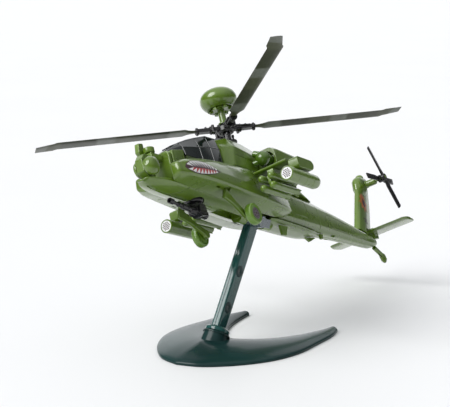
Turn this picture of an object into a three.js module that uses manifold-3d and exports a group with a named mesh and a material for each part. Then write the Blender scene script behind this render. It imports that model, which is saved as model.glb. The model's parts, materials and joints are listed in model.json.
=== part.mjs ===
// Toy attack helicopter on a display stand, in millimetres, +Z up.
// Row frame: origin on the table under the stand's socket, +X the way the nose points.
// The helicopter is drawn in its own frame: origin at the rotor hub, +X forward, +Y port,
// +Z up the mast.  It is then banked on the stand's knuckle.
import * as THREE from 'three';
import { mergeVertices } from 'three/addons/utils/BufferGeometryUtils.js';
import Module from 'manifold-3d';

const wasm = await Module();
wasm.setup();

// ---- driving dimensions ---------------------------------------------------------------
const GAP = 0.3;                   // moulding gap between neighbouring pieces
const RUN = 0.07;                  // radial clearance of a running fit

const PITCH = THREE.MathUtils.degToRad(16.7);   // nose up
const BANK = THREE.MathUtils.degToRad(26.6);    // port wing up
const YAW = THREE.MathUtils.degToRad(1.3);      // arm's turn in its keyed socket
const KNUCKLE = new THREE.Vector3(-27.9, 0, 51.9);   // knuckle centre above the base
const KNUCKLE_IN_HELI = new THREE.Vector3(-4, 0, -43.6);

const BASE_FRONT = 27.2;           // front apex of the horseshoe
const BASE_SIDE = 32.2;            // widest half width
const BASE_BACK = -57.6;           // prong tips
const BASE_THROAT = -10.9;         // front of the gap between the prongs
const BASE_CROWN = 6.2;            // height of the crown at the socket
const BASE_RIM = 1.3;
const SOCKET_HEIGHT = 5.9;
const SOCKET_R = 5.7;
const ARM_DEPTH = 6.7;
const ARM_WIDTH = 3.8;
const EYE_R = 4.3;
const BARREL_R = 2.6;
const PIN_R = 1.5;

const CORE_HALF = 6.5;             // half width of the inner bricks
const CORE_TOP = -24.3;
const CORE_FLOOR = -37.0;
const SKIN = 1.4;
const STUD_R = 1.5;

const MAST_R = 1.75;
const MAST_BORE = 0.95;
const ROTOR_R = 85.3;
const BLADE_CHORD = 7.0;
const FIRST_BLADE = 49.6;          // degrees from the nose towards port
const DOME_R = 8.4;
const DOME_Z = 14.1;

const WHEEL_R = 4.7;
const WHEEL_W = 3.4;
const AXLE_R = 0.9;
const WHEEL = new THREE.Vector3(18.9, 13.9, -49.3);
const LEG_TOP = new THREE.Vector3(33.4, 11.6, -42.25);

const TAIL_ROTOR = new THREE.Vector3(-128.5, 12.4, -4.9);
const TAIL_OUTER_BLADE = 18.2;
const TAIL_INNER_BLADE = 15.4;

const GUN_X = 40.6;
const CANOPY_SILL = -24.95;
const SENSOR_HALF = 1.8;           // half width of the nose sensor's frame
const STAB = { front: -117.6, back: -131.4, z: -31.9, span: 22.4 };

const COLOURS = {
  green: [0x6f9a3a, 0.35],
  dark_green: [0x4e6f2a, 0.4],
  core: [0x47602c, 0.5],
  stand: [0x1d4a44, 0.15],
  knuckle: [0x8aa0a8, 0.2],
  canopy: [0x0f2a26, 0.12],
  black: [0x17181a, 0.3],
  blade: [0x3d4236, 0.45],
};

// ---- helpers ---------------------------------------------------------------------------
const V = (x, y, z) => new THREE.Vector3(x, y, z);

function toSolid(geometry) {
  const bare = geometry.clone();
  for (const name of Object.keys(bare.attributes)) {
    if (name !== 'position') bare.deleteAttribute(name);
  }
  const merged = mergeVertices(bare, 1e-5);
  return new wasm.Manifold(new wasm.Mesh({
    numProp: 3,
    vertProperties: new Float32Array(merged.attributes.position.array),
    triVerts: new Uint32Array(merged.index.array),
  }));
}

function fromSolid(solid) {
  const mesh = solid.getMesh();
  const geometry = new THREE.BufferGeometry();
  geometry.setAttribute('position', new THREE.BufferAttribute(mesh.vertProperties, 3));
  geometry.setIndex(new THREE.BufferAttribute(mesh.triVerts, 1));
  geometry.computeVertexNormals();
  return geometry;
}

const union = (...shapes) => fromSolid(shapes.map(toSolid).reduce((a, b) => a.add(b)));
const cut = (shape, ...tools) =>
  fromSolid(tools.map(toSolid).reduce((a, b) => a.subtract(b), toSolid(shape)));
const common = (a, b) => fromSolid(toSolid(a).intersect(toSolid(b)));

// A closed skin over rings of points, which all have the same count.
function loft(rings) {
  const count = rings[0].length;
  const points = [];
  const faces = [];
  for (const ring of rings) {
    for (const point of ring) points.push(point.x, point.y, point.z);
  }
  for (let i = 0; i + 1 < rings.length; i += 1) {
    for (let j = 0; j < count; j += 1) {
      const next = (j + 1) % count;
      const a = i * count + j;
      const b = i * count + next;
      faces.push(a, b, a + count, b, b + count, a + count);
    }
  }
  for (const [start, flip] of [[0, true], [(rings.length - 1) * count, false]]) {
    const centre = points.length / 3;
    const sum = V(0, 0, 0);
    for (let j = 0; j < count; j += 1) {
      sum.add(V(points[3 * (start + j)], points[3 * (start + j) + 1], points[3 * (start + j) + 2]));
    }
    sum.divideScalar(count);
    points.push(sum.x, sum.y, sum.z);
    for (let j = 0; j < count; j += 1) {
      const a = start + j;
      const b = start + ((j + 1) % count);
      if (flip) faces.push(b, a, centre);
      else faces.push(a, b, centre);
    }
  }
  const geometry = new THREE.BufferGeometry();
  geometry.setAttribute('position', new THREE.Float32BufferAttribute(points, 3));
  geometry.setIndex(faces);
  return outward(geometry);
}

function outward(geometry) {
  const p = geometry.attributes.position;
  const index = geometry.index.array;
  let volume = 0;
  const [a, b, c] = [V(0, 0, 0), V(0, 0, 0), V(0, 0, 0)];
  for (let i = 0; i < index.length; i += 3) {
    a.fromBufferAttribute(p, index[i]);
    b.fromBufferAttribute(p, index[i + 1]);
    c.fromBufferAttribute(p, index[i + 2]);
    volume += a.dot(b.cross(c));
  }
  if (volume < 0) {
    for (let i = 0; i < index.length; i += 3) {
      [index[i], index[i + 1]] = [index[i + 1], index[i]];
    }
  }
  return geometry;
}

function mirrorY(geometry) {
  const copy = geometry.clone();
  copy.applyMatrix4(new THREE.Matrix4().makeScale(1, -1, 1));
  if (!copy.index) copy.setIndex([...Array(copy.attributes.position.count).keys()]);
  return outward(copy);
}

function box(low, high) {
  const size = V(high[0] - low[0], high[1] - low[1], high[2] - low[2]);
  return new THREE.BoxGeometry(size.x, size.y, size.z)
    .translate(low[0] + size.x / 2, low[1] + size.y / 2, low[2] + size.z / 2);
}

// A straight rod between two points, round unless it has few sides.
function rod(from, to, radius, sides = 16, endRadius = radius) {
  const along = to.clone().sub(from);
  const turn = new THREE.Quaternion().setFromUnitVectors(V(0, 1, 0), along.clone().normalize());
  return new THREE.CylinderGeometry(endRadius, radius, along.length(), sides)
    .applyQuaternion(turn)
    .translate((from.x + to.x) / 2, (from.y + to.y) / 2, (from.z + to.z) / 2);
}

// A turned piece: profile pairs are radius and distance along the axis from a point.
function turned(profile, origin, axis, sides = 20) {
  const points = profile.map(([radius, along]) => new THREE.Vector2(radius, along));
  const turn = new THREE.Quaternion().setFromUnitVectors(V(0, 1, 0), axis.clone().normalize());
  const lathe = new THREE.LatheGeometry(points, sides).applyQuaternion(turn);
  return outward(lathe.translate(origin.x, origin.y, origin.z));
}

// Rings across X from half outlines: each half outline runs from the top centre to the
// bottom centre on the port side, and is repeated on the starboard side.
function symmetricLoft(stations) {
  return loft(stations.map(({ x, half }) => [
    ...half.map(([y, z]) => V(x, y, z)),
    ...half.filter(([y]) => y > 0).reverse().map(([y, z]) => V(x, -y, z)),
  ]));
}

// A flat outline in X and Z, given a width across Y.
function plateXZ(outline, y0, y1) {
  const shape = new THREE.Shape(outline.map(([x, z]) => new THREE.Vector2(x, z)));
  return new THREE.ExtrudeGeometry(shape, { depth: y1 - y0, bevelEnabled: false, curveSegments: 8 })
    .rotateX(Math.PI / 2)
    .translate(0, y1, 0);
}

function piece(name, geometry, colour) {
  const [hex, roughness] = COLOURS[colour];
  const material = new THREE.MeshStandardMaterial({ color: hex, roughness, metalness: 0 });
  const mesh = new THREE.Mesh(geometry, material);
  mesh.name = name;
  return mesh;
}

// The port piece and its mirror image.
function pair(name, geometry, colour) {
  return [piece(`${name}_left`, geometry, colour),
    piece(`${name}_right`, mirrorY(geometry), colour)];
}

// ---- stand -----------------------------------------------------------------------------
const ARM_FOOT = V(0, 0, SOCKET_HEIGHT);
const ARM_DIR = KNUCKLE.clone().sub(ARM_FOOT).normalize();

// The horseshoe is swept from one prong tip round the front to the other.
function standBase() {
  const outer = new THREE.CatmullRomCurve3([
    V(BASE_BACK + 1.2, 26.6, 0), V(-47.3, 29.2, 0), V(-32.9, 30.9, 0), V(-15.9, BASE_SIDE, 0),
    V(-2, 29.8, 0), V(9, 24.4, 0), V(17.6, 17.6, 0), V(24.2, 9.6, 0),
    V(BASE_FRONT, 0, 0),
  ], false, 'centripetal');
  const inner = new THREE.CatmullRomCurve3([
    V(BASE_BACK + 0.4, 22.4, 0), V(-50.4, 21.2, 0), V(-38.5, 18.2, 0), V(-25.9, 12.8, 0),
    V(-16.4, 6.1, 0), V(BASE_THROAT, 0, 0),
  ], false, 'centripetal');
  const halfSteps = 12;
  const across = 6;
  const rings = [];
  for (let i = -halfSteps; i <= halfSteps; i += 1) {
    const side = i <= 0 ? 1 : -1;
    const t = 1 - Math.abs(i) / halfSteps;
    const from = inner.getPointAt(t);
    const to = outer.getPointAt(t);
    const crown = BASE_RIM + 0.9 + (BASE_CROWN - BASE_RIM - 0.9) * t ** 1.6;
    const ring = [];
    for (let k = 0; k <= across; k += 1) {
      const s = k / across;
      const p = from.clone().lerp(to, s);
      const height = BASE_RIM + (crown - BASE_RIM) * Math.sin(Math.PI * s ** 0.85) ** 0.8;
      ring.push(V(p.x, side * p.y, height));
    }
    ring.push(V(to.x, side * to.y, 0));
    ring.push(V(from.x, side * from.y, 0));
    rings.push(ring);
  }
  const collar = turned([[0, -6], [SOCKET_R + 0.6, -6], [SOCKET_R + 0.2, -1.2], [SOCKET_R, 1.4],
    [SOCKET_R - 0.5, 1.9], [0, 1.9]], ARM_FOOT, ARM_DIR, 32);
  const aboveTable = box([-20, -20, 0], [40, 20, 30]);
  const well = rod(ARM_FOOT.clone().addScaledVector(ARM_DIR, -0.6),
    ARM_FOOT.clone().addScaledVector(ARM_DIR, 6), SOCKET_R - 1.4 + GAP, 32);
  return cut(union(loft(rings), common(collar, aboveTable)), well);
}

// The arm is two half shells, which clasp the knuckle's barrel between two eyes.
function armHalf(side) {
  const along = KNUCKLE.distanceTo(ARM_FOOT);
  const half = ARM_WIDTH / 2;
  const bar = new THREE.BoxGeometry(ARM_DEPTH, half - GAP / 2, along - 3.4)
    .translate(0, (half + GAP / 2) / 2, (along - 3.4) / 2);
  const foot = turned([[0, -0.3], [SOCKET_R - 1.4, -0.3], [SOCKET_R - 1.4, 2.2],
    [SOCKET_R - 0.4, 2.2], [SOCKET_R - 0.4, 3.6], [SOCKET_R - 1.4, 4.2], [0, 4.2]],
  V(0, 0, 0), V(0, 0, 1), 32);
  const footHalf = common(foot, box([-9, GAP / 2, -2], [9, 9, 8]));
  const eye = rod(V(0, GAP / 2, along), V(0, half, along), EYE_R, 28);
  let shell = union(bar, footHalf, eye);
  for (const [height, radius] of [[along * 0.25, 2.9], [along * 0.56, 2.9]]) {
    shell = union(shell, rod(V(0, 0.6, height), V(0, half + 0.35, height), radius, 24));
  }
  shell = cut(shell, rod(V(0, -1, along), V(0, 4, along), BARREL_R + RUN, 28));
  const lean = new THREE.Quaternion().setFromUnitVectors(V(0, 0, 1), ARM_DIR);
  const placed = (side > 0 ? shell : mirrorY(shell)).applyQuaternion(lean);
  return placed.translate(ARM_FOOT.x, ARM_FOOT.y, ARM_FOOT.z);
}

// A gimbal: the barrel turns in the arm's eyes, the two fore-and-aft pins carry the belly.
function knuckle() {
  const frame = cut(box([-7, -5, -1.9], [7, 5, 1.9]), box([-5.4, -2.6, -4], [5.4, 2.6, 4]));
  const barrel = rod(V(0, -5.6, 0), V(0, 5.6, 0), BARREL_R, 28);
  const pins = rod(V(-11, 0, 0), V(-6.5, 0, 0), PIN_R, 20);
  return union(frame, barrel, pins, rod(V(6.5, 0, 0), V(11, 0, 0), PIN_R, 20));
}

// ---- fuselage --------------------------------------------------------------------------
// Half outline of a cheek at a station: shelf edge, crease, lower edge, then the underside.
const CHEEK = [
  { x: 63.6, shelf: [8.4, -33.4], crease: [9.6, -34.6], lower: [9.6, -37.2], under: -38.3 },
  { x: 61.8, shelf: [9.0, -31.6], crease: [11.4, -33.9], lower: [11.7, -37.4], under: -38.9 },
  { x: 58, shelf: [9.3, -30.0], crease: [12.5, -33.7], lower: [12.9, -37.5], under: -39.5 },
  { x: 52, shelf: [9.3, -28.4], crease: [13.2, -33.6], lower: [13.7, -37.7], under: -39.9 },
  { x: 42, shelf: [9.3, -26.4], crease: [13.9, -33.7], lower: [14.5, -38.2], under: -40.5 },
  { x: 28, shelf: [9.3, -25.0], crease: [14.3, -34.2], lower: [14.9, -39.2], under: -41.5 },
  { x: 10, shelf: [9.6, -24.2], crease: [14.4, -35.6], lower: [15.0, -40.5], under: -42.7 },
  { x: -2, shelf: [10.2, -25.0], crease: [14.2, -36.6], lower: [14.8, -41.3], under: -42.9 },
  { x: -11, shelf: [10.4, -29.6], crease: [13.4, -37.4], lower: [14.0, -41.6], under: -42.8 },
  { x: -18.5, shelf: [9.9, -33.6], crease: [12.2, -38.1], lower: [12.6, -41.5], under: -42.2 },
  { x: -21.8, shelf: [9.2, -35.6], crease: [10.7, -38.4], lower: [10.9, -40.4], under: -41.2 },
];
const CHEEK_INNER = CORE_HALF + GAP;

function cheek() {
  const outline = ({ x, shelf, crease, lower, under }, inset, inner) => [
    V(x, inner, shelf[1] - inset),
    V(x, shelf[0] - inset * 0.8, shelf[1] - inset),
    V(x, crease[0] - inset, crease[1] + inset * 0.2),
    V(x, lower[0] - inset, lower[1] + inset),
    V(x, inner, under + inset),
  ];
  const skin = loft(CHEEK.map((s) => outline(s, 0, CHEEK_INNER)));
  const hollow = loft(CHEEK.slice(2, -2).map((s) => outline(s, SKIN, CHEEK_INNER - 1)));
  return cut(skin, hollow);
}

function keel() {
  const stations = [
    [73.4, 2.4, -38.2, -38.6, -38.9], [71.2, 4.0, -38.1, -38.9, -39.8],
    [65, 5.8, -38.1, -39.2, -41.2], [57.6, CORE_HALF, -38.1, -39.6, -41.9],
    [50, CORE_HALF, -37.3, -40.1, -42.2], [31, CORE_HALF, -37.3, -41.4, -43.4],
    [12, CORE_HALF, -37.3, -42.7, -44.6], [3.4, CORE_HALF, -37.3, -42.9, -44.8],
  ];
  const skin = symmetricLoft(stations.map(([x, w, top, edge, bottom]) => {
    const fall = edge - bottom;
    return { x, half: [[0, top], [w, top], [w, edge], [w * 0.6, bottom + fall * 0.46],
      [w * 0.25, bottom + fall * 0.12], [0, bottom]] };
  }));
  const boss = rod(V(3.4, 0, KNUCKLE_IN_HELI.z), V(9, 0, KNUCKLE_IN_HELI.z), 2.7, 24);
  const pinHole = rod(V(2, 0, KNUCKLE_IN_HELI.z), V(7.4, 0, KNUCKLE_IN_HELI.z), PIN_R + RUN, 20);
  const turretWell = rod(V(GUN_X, 0, -39.9), V(GUN_X, 0, -50), 4.2, 28);
  const turretPin = rod(V(GUN_X, 0, -38.2), V(GUN_X, 0, -50), 1.9, 24);
  return cut(union(skin, boss), pinHole, turretWell, turretPin);
}

function rearBelly() {
  const stations = [[-11.4, 5.6, -42.9, -44.2], [-16, 6.2, -42.9, -44.3], [-34, 6.0, -43.2, -44.5],
    [-46, 5.4, -43.3, -44.6], [-54, 4.2, -43.0, -44.2], [-60, 2.2, -42.6, -43.5]];
  const skin = symmetricLoft(stations.map(([x, w, top, bottom]) => ({
    x, half: [[0, top], [w, top], [w, top - 0.4], [w * 0.8, bottom + 0.4], [w * 0.4, bottom],
      [0, bottom]] })));
  const boss = rod(V(-17, 0, KNUCKLE_IN_HELI.z), V(-11.4, 0, KNUCKLE_IN_HELI.z), 2.7, 24);
  const pinHole = rod(V(-15.4, 0, KNUCKLE_IN_HELI.z), V(-10, 0, KNUCKLE_IN_HELI.z),
    PIN_R + RUN, 20);
  return cut(union(skin, boss), pinHole);
}

const frontAntenna = () =>
  plateXZ([[-19.3, -44.8], [-26, -44.8], [-23, -49.5], [-19.8, -49.5]], 3.8, 4.8);
const rearAntenna = () =>
  plateXZ([[-60.4, -42.5], [-63.2, -42.4], [-62, -44.9], [-60.4, -44.9]], 1.8, 2.8);
const bellyFin = () => plateXZ([[-48.9, -44.95], [-59.3, -44], [-53, -46.6]], -0.5, 0.5);

const BOOM = [
  { x: -13.8, w: 6.5, top: CORE_TOP, bottom: -39.8 },
  { x: -19, w: 6.5, top: CORE_TOP, bottom: -40.2 },
  { x: -20, w: 6.5, top: CORE_TOP, bottom: -42.5 },
  { x: -38, w: 6.4, top: -25, bottom: -42.6 },
  { x: -62, w: 5.4, top: -26.8, bottom: -42.0 },
  { x: -84, w: 4.3, top: -29.2, bottom: -41.4 },
  { x: -104, w: 3.5, top: -32.0, bottom: -41.1 },
  { x: -118, w: 3.0, top: -34.2, bottom: -40.7 },
  { x: -122.8, w: 2.5, top: -35.1, bottom: -39.6 },
];

function boomHalf() {
  const tail = symmetricLoft(BOOM.map(({ x, w, top, bottom }) => {
    const h = top - bottom;
    return { x, half: [[0, top], [w * 0.42, top - h * 0.02], [w * 0.92, top - h * 0.3],
      [w, top - h * 0.62], [w * 0.86, top - h * 0.9], [w * 0.5, bottom], [0, bottom]] };
  }));
  return common(tail, box([-130, GAP / 2, -50], [0, 20, -20]));
}

function rearDeck() {
  const stations = [[-15.4, 7.0, -10.4, CORE_TOP + GAP], [-30, 6.4, -15.4, CORE_TOP + GAP],
    [-44, 5.2, -21.4, -24.9], [-56, 3.4, -25.0, -25.9], [-60, 2.4, -25.9, -26.2]];
  return symmetricLoft(stations.map(([x, w, top, bottom]) => {
    const h = top - bottom;
    return { x, half: [[0, top], [w * 0.5, top - h * 0.04], [w * 0.9, top - h * 0.35],
      [w, top - h * 0.7], [w, bottom], [0, bottom]] };
  }));
}

const DECK_FLOOR = CORE_TOP + 0.6;
function deckHalf() {
  const stations = [
    [18.4, 5.6, -14.4, 3.7, -11.0, -10.4], [11.4, 8.3, -14.1, 4.5, -8.6, -7.7],
    [-2, 8.2, -15.5, 4.5, -8.9, -8.0], [-15, 7.4, -16.6, 4.4, -10.9, -10.0],
  ];
  const whole = symmetricLoft(stations.map(([x, w, side, edge, eave, ridge]) => ({
    x, half: [[0, ridge], [edge, eave], [w, side], [w + 0.15, DECK_FLOOR], [0, DECK_FLOOR]],
  })));
  const mastHole = rod(V(0, 0, -30), V(0, 0, 0), MAST_R + GAP, 24);
  return common(cut(whole, mastHole), box([-20, GAP / 2, -30], [25, 20, 0]));
}

function canopy() {
  const stations = [
    [56.6, 3.6, -23.8, 3.4, -23.6, 3.0, -23.4, -23.3],
    [48.9, 5.2, -22.2, 5.0, -20.6, 4.0, -18.9, -18.7],
    [48.4, 6.2, CANOPY_SILL, 5.4, -21.0, 4.0, -18.7, -18.5],
    [43, 6.3, CANOPY_SILL, 5.7, -20.0, 4.2, -16.5, -16.2],
    [36, 6.4, CANOPY_SILL, 5.9, -18.8, 4.3, -14.1, -13.7],
    [27, 6.4, CANOPY_SILL, 5.8, -17.0, 4.2, -11.3, -10.9],
    [18.8, 5.8, CANOPY_SILL, 5.2, -15.8, 3.9, -10.8, -10.5],
  ];
  const ring = ([x, sill, low, shoulder, mid, edge, roof, ridge], inset) => ({
    x, half: [[0, ridge - inset], [edge - inset * 0.6, roof - inset],
      [shoulder - inset, mid - inset * 0.4], [sill - inset, low - (inset ? 2 : 0)],
      [0, low - (inset ? 2 : 0)]] });
  const glass = symmetricLoft(stations.map((s) => ring(s, 0)));
  const inside = symmetricLoft(stations.slice(3).map((s, i, all) => {
    const wall = i === all.length - 1 ? 1.2 : 0;
    return ring([s[0] + wall, ...s.slice(1)], 1.1);
  }));
  return cut(glass, inside);
}

function studded(block, xs, top) {
  let result = block;
  for (const x of xs) {
    for (const y of [-3, 3]) {
      result = union(result, rod(V(x, y, top - 0.5), V(x, y, top + 0.9), STUD_R, 16));
    }
  }
  return result;
}

function noseBlock() {
  const block = plateXZ([[51, CORE_FLOOR], [58, CORE_FLOOR], [58, -24.5], [49.3, -22.7],
    [49.3, -26]], -6, 6);
  const windscreenSeat = plateXZ([[60, -24.2], [48, -22.5], [48, -18], [60, -18]], -7, 7);
  return cut(block, windscreenSeat);
}

function nosePlate() {
  const outline = new THREE.Shape();
  const [w, low, high, r] = [5.6, -37.4, -24.8, 1.8];
  outline.moveTo(-w + r, low);
  outline.lineTo(w - r, low);
  outline.quadraticCurveTo(w, low, w, low + r);
  outline.lineTo(w, high - r);
  outline.quadraticCurveTo(w, high, w - r, high);
  outline.lineTo(-w + r, high);
  outline.quadraticCurveTo(-w, high, -w, high - r);
  outline.lineTo(-w, low + r);
  outline.quadraticCurveTo(-w, low, -w + r, low);
  return new THREE.ExtrudeGeometry(outline, { depth: 2, bevelEnabled: false, curveSegments: 6 })
    .rotateX(Math.PI / 2).rotateZ(Math.PI / 2).translate(58.3, 0, 0);
}

// ---- nose sensors ------------------------------------------------------------------------
function sensorBlock() {
  const neck = box([60.6, -2.6, -30.2], [68, 2.6, -26.2]);
  const body = plateXZ([[67, -36.6], [71.5, -37.4], [74.4, -35], [74.4, -30], [72.4, -27.6],
    [67, -27.2]], -SENSOR_HALF, SENSOR_HALF);
  const post = rod(V(69.5, 0, -37.8), V(69.5, 0, -35), 1.9, 20);
  return union(neck, body, post);
}

function nightSight() {
  const drum = rod(V(67.2, 0.8, -26.8), V(67.2, 0.8, -24.0), 2.2, 24);
  const camera = box([66.4, -3.4, -28.4], [69.0, -1.2, -21.4]);
  const seat = plateXZ([[60, -32], [76, -32], [76, -26.9], [68.3, -26.9], [68.3, -25.9],
    [60, -25.9]], -2.9, 3.8);
  return cut(union(drum, camera), seat);
}

// The port sight is a ball, the starboard one a shallow drum.
function portSight() {
  const profile = [[0, 0], [3.0, 0], [3.6, 0.9], [3.8, 2.0], [3.5, 3.1], [2.6, 4.0], [1.4, 4.5],
    [0, 4.5]];
  return turned(profile, V(72, SENSOR_HALF + GAP, -33.4), V(0, 1, 0));
}

function starboardSight() {
  const profile = [[0, 0], [3.6, 0], [3.6, 0.9], [3.0, 1.5], [0, 1.5]];
  return turned(profile, V(70.7, -SENSOR_HALF - GAP, -32.8), V(0, -1, 0));
}

// ---- stores -------------------------------------------------------------------------------
const POD = V(15.4, 31.8, -37.0);
const POD_R = 3.1;
const POD_L = 25;

function rocketPod() {
  const back = V(-1, 0, 0);
  const pod = turned([[0, 0], [POD_R - 0.2, 0], [POD_R, 0.4], [POD_R, POD_L - 1.6],
    [POD_R * 0.7, POD_L], [0, POD_L]], POD, back, 28);
  const tubes = [];
  for (let i = 0; i < 7; i += 1) {
    const angle = (i * Math.PI) / 3;
    const r = i === 6 ? 0 : 1.7;
    const [y, z] = [POD.y + r * Math.cos(angle), POD.z + r * Math.sin(angle)];
    tubes.push(rod(V(POD.x - 0.8, y, z), V(POD.x + 1, y, z), 0.45, 8));
  }
  return cut(pod, ...tubes);
}

const MISSILE_Y = 21;
function missileRack() {
  const rail = plateXZ([[11, -32.9], [11, -36.6], [-6, -36.6], [-8, -32.9]],
    MISSILE_Y - 0.7, MISSILE_Y + 0.7);
  const shapes = [rail];
  for (const y of [MISSILE_Y - 2.6, MISSILE_Y + 2.2]) {
    for (const z of [-34.1, -38.4]) {
      shapes.push(turned([[0, 0], [0.8, 0.25], [1.4, 1.0], [1.6, 2.0], [1.6, 22], [0, 22]],
        V(14.4, y, z), V(-1, 0, 0), 10));
      const [fx0, fx1] = [-7.4, -3.8];
      shapes.push(box([fx0, y - 2.0, z - 0.25], [fx1, y + 2.0, z + 0.25]));
      shapes.push(box([fx0, y - 0.25, z - 2.0], [fx1, y + 0.25, z + 2.0]));
    }
  }
  shapes.push(box([0, MISSILE_Y - 1.6, -37.6], [4, MISSILE_Y + 1.6, -35.0]));
  return union(...shapes);
}

function wing() {
  const section = [[8.4, -28.4], [7.6, -27.6], [3, -27.2], [-6, -27.8], [-6, -28.4], [3, -29.3],
    [7.4, -29.2]];
  return plateXZ(section, 12.9, 29.1);
}

function outerPylon() {
  return plateXZ([[7.2, -29.2], [6.4, -28.3], [-5.6, -28.3], [-7, -30], [-6.2, -32],
    [-4.4, -33.3], [6, -33.5], [7.2, -32.6]], 29.4, 34.3);
}

function innerPylon() {
  return plateXZ([[8.4, -29.6], [8.4, -31.4], [7, -32.6], [-6, -32.6], [-7, -29.6]],
    MISSILE_Y - 1.5, MISSILE_Y + 1.5);
}

// ---- engines --------------------------------------------------------------------------------
const ENGINE = V(-2.9, 13.2, -19.2);
function nacelle() {
  const ring = (x, w, up, down, chamfer) => [
    V(x, ENGINE.y - w, ENGINE.z + up), V(x, ENGINE.y + w * 0.5, ENGINE.z + up),
    V(x, ENGINE.y + w, ENGINE.z + up - chamfer), V(x, ENGINE.y + w, ENGINE.z - down + chamfer),
    V(x, ENGINE.y + w * 0.5, ENGINE.z - down), V(x, ENGINE.y - w, ENGINE.z - down),
  ];
  const body = loft([ring(ENGINE.x - 3.4, 4.6, 5.2, 4.6, 2), ring(ENGINE.x - 6, 5.2, 5.6, 5.2, 2.2),
    ring(-24, 5.0, 5.2, 5.4, 2.2), ring(-36, 3.8, 3.8, 4.4, 1.8)]);
  const bell = rod(V(-1, ENGINE.y, ENGINE.z), V(-9.5, ENGINE.y, ENGINE.z), 3.9, 24);
  return cut(body, bell);
}

function gearboxBall() {
  const ball = new THREE.SphereGeometry(3.4, 14, 8).translate(ENGINE.x, ENGINE.y, ENGINE.z);
  const tail = rod(V(ENGINE.x, ENGINE.y, ENGINE.z), V(-9.2, ENGINE.y, ENGINE.z), 2.4, 20);
  const shaft = rod(V(ENGINE.x + 0.6, 8.9, ENGINE.z + 2.4), V(ENGINE.x, ENGINE.y, ENGINE.z + 1.2),
    1.5, 16);
  const stub = rod(V(ENGINE.x + 1.8, 9.1, ENGINE.z - 1.4), V(ENGINE.x, ENGINE.y, ENGINE.z - 1),
    1.2, 14);
  return union(ball, tail, shaft, stub);
}

// ---- undercarriage ----------------------------------------------------------------------------
function leg() {
  const knee = V(WHEEL.x, WHEEL.y - WHEEL_W / 2 - 1.6, WHEEL.z);
  const sides = (at, half, thick) => {
    const along = knee.clone().sub(LEG_TOP).normalize();
    const out = V(0, 1, 0).addScaledVector(along, -along.y).normalize();
    const wide = along.clone().cross(out).normalize();
    return [[1, 1], [-1, 1], [-1, -1], [1, -1]].map(([a, b]) => at.clone()
      .addScaledVector(wide, a * half).addScaledVector(out, b * thick));
  };
  const strut = loft([sides(LEG_TOP, 2.4, 0.8), sides(LEG_TOP.clone().lerp(knee, 0.35), 1.3, 0.8),
    sides(knee, 1.5, 0.8)]);
  const axle = rod(knee.clone().add(V(0, -0.8, 0)),
    V(WHEEL.x, WHEEL.y + WHEEL_W / 2 - 0.6, WHEEL.z), AXLE_R, 16);
  const fairing = rod(knee.clone().add(V(0, -0.8, 0)), knee.clone().add(V(0, 0.8, 0)), 1.9, 18);
  return union(strut, axle, fairing);
}

function wheel() {
  const half = WHEEL_W / 2;
  const profile = [[AXLE_R + RUN, -half], [2.6, -half], [3.0, -half + 0.3], [4.2, -half],
    [WHEEL_R, -half + 0.9], [WHEEL_R, half - 0.9], [4.2, half], [3.0, half - 0.3], [2.6, half],
    [0, half], [0, half - 0.5], [AXLE_R + RUN, half - 0.5], [AXLE_R + RUN, -half]];
  return turned(profile, WHEEL, V(0, 1, 0), 24);
}

// ---- gun ----------------------------------------------------------------------------------------
function gunRing() {
  return turned([[2.1, -40.2], [3.9, -40.2], [3.9, -42.6], [3.5, -42.9], [2.1, -42.9],
    [2.1, -40.2]], V(GUN_X, 0, 0), V(0, 0, 1), 28);
}

function gun() {
  const pivot = rod(V(GUN_X, 0, -38.8), V(GUN_X, 0, -44), 1.75, 20);
  const housing = box([GUN_X - 5.6, -2.3, -48.6], [GUN_X + 2.2, 2.3, -43.2]);
  const yokes = box([GUN_X - 3.4, -3.0, -47.6], [GUN_X + 1.0, 3.0, -44.2]);
  const lean = V(1, 0, 0.11).normalize();
  const at = (d) => V(GUN_X, 0, -46.4).addScaledVector(lean, d);
  const barrel = [[-7, 4, 1.7], [2, 10, 1.15], [9, 17.4, 0.75], [15.6, 18, 1.2],
    [11.4, 12.4, 1.15]];
  const steps = barrel.map(([from, to, r]) => rod(at(from), at(to), r, 14));
  return union(pivot, housing, yokes, ...steps);
}

// ---- tail -----------------------------------------------------------------------------------------
const BOOM_END = BOOM.at(-1).x;
const boomTop = (x) => {
  const i = BOOM.findIndex((s) => s.x <= x);
  const [a, b] = [BOOM[i - 1], BOOM[i]];
  return THREE.MathUtils.mapLinear(x, a.x, b.x, a.top, b.top);
};

function fin() {
  const ring = (front, back, half, heightAt) => {
    const port = [[front, half * 0.55], [front - 3, half], [(front + back) / 2, half], [back, 0.5]];
    const starboard = port.map(([x, y]) => [x, -y]).reverse();
    return [...port, ...starboard].map(([x, y]) => V(x, y, heightAt(x)));
  };
  const blade = loft([ring(-106.4, -122, 1.9, (x) => boomTop(x) + 1.5 * GAP),
    ring(-113.4, -129, 1.8, () => -20), ring(-121, -134.6, 1.6, () => -6)]);
  const housing = loft([[-11, -120.7, -126, 1.7], [-7.4, -119.7, -129.6, 2.7],
    [-2.6, -120.9, -131.8, 2.7], [-0.8, -123.3, -131.4, 2.1]].map(([z, front, back, half]) => [
    V(front, half * 0.5, z), V(front - 2, half, z), V(back, half, z), V(back, -half, z),
    V(front - 2, -half, z), V(front, -half * 0.5, z)]));
  const cap = turned([[0, -1], [2.2, -1], [2.2, 1.8], [1.7, 2.4], [0, 2.4]], V(-128.4, 0, -0.9),
    V(0, 0, 1), 20);
  const stabSlot = box([-134, -6, -36], [STAB.front + 1, 6, STAB.z + 1.3]);
  return union(cut(blade, stabSlot), housing, cap);
}

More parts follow.
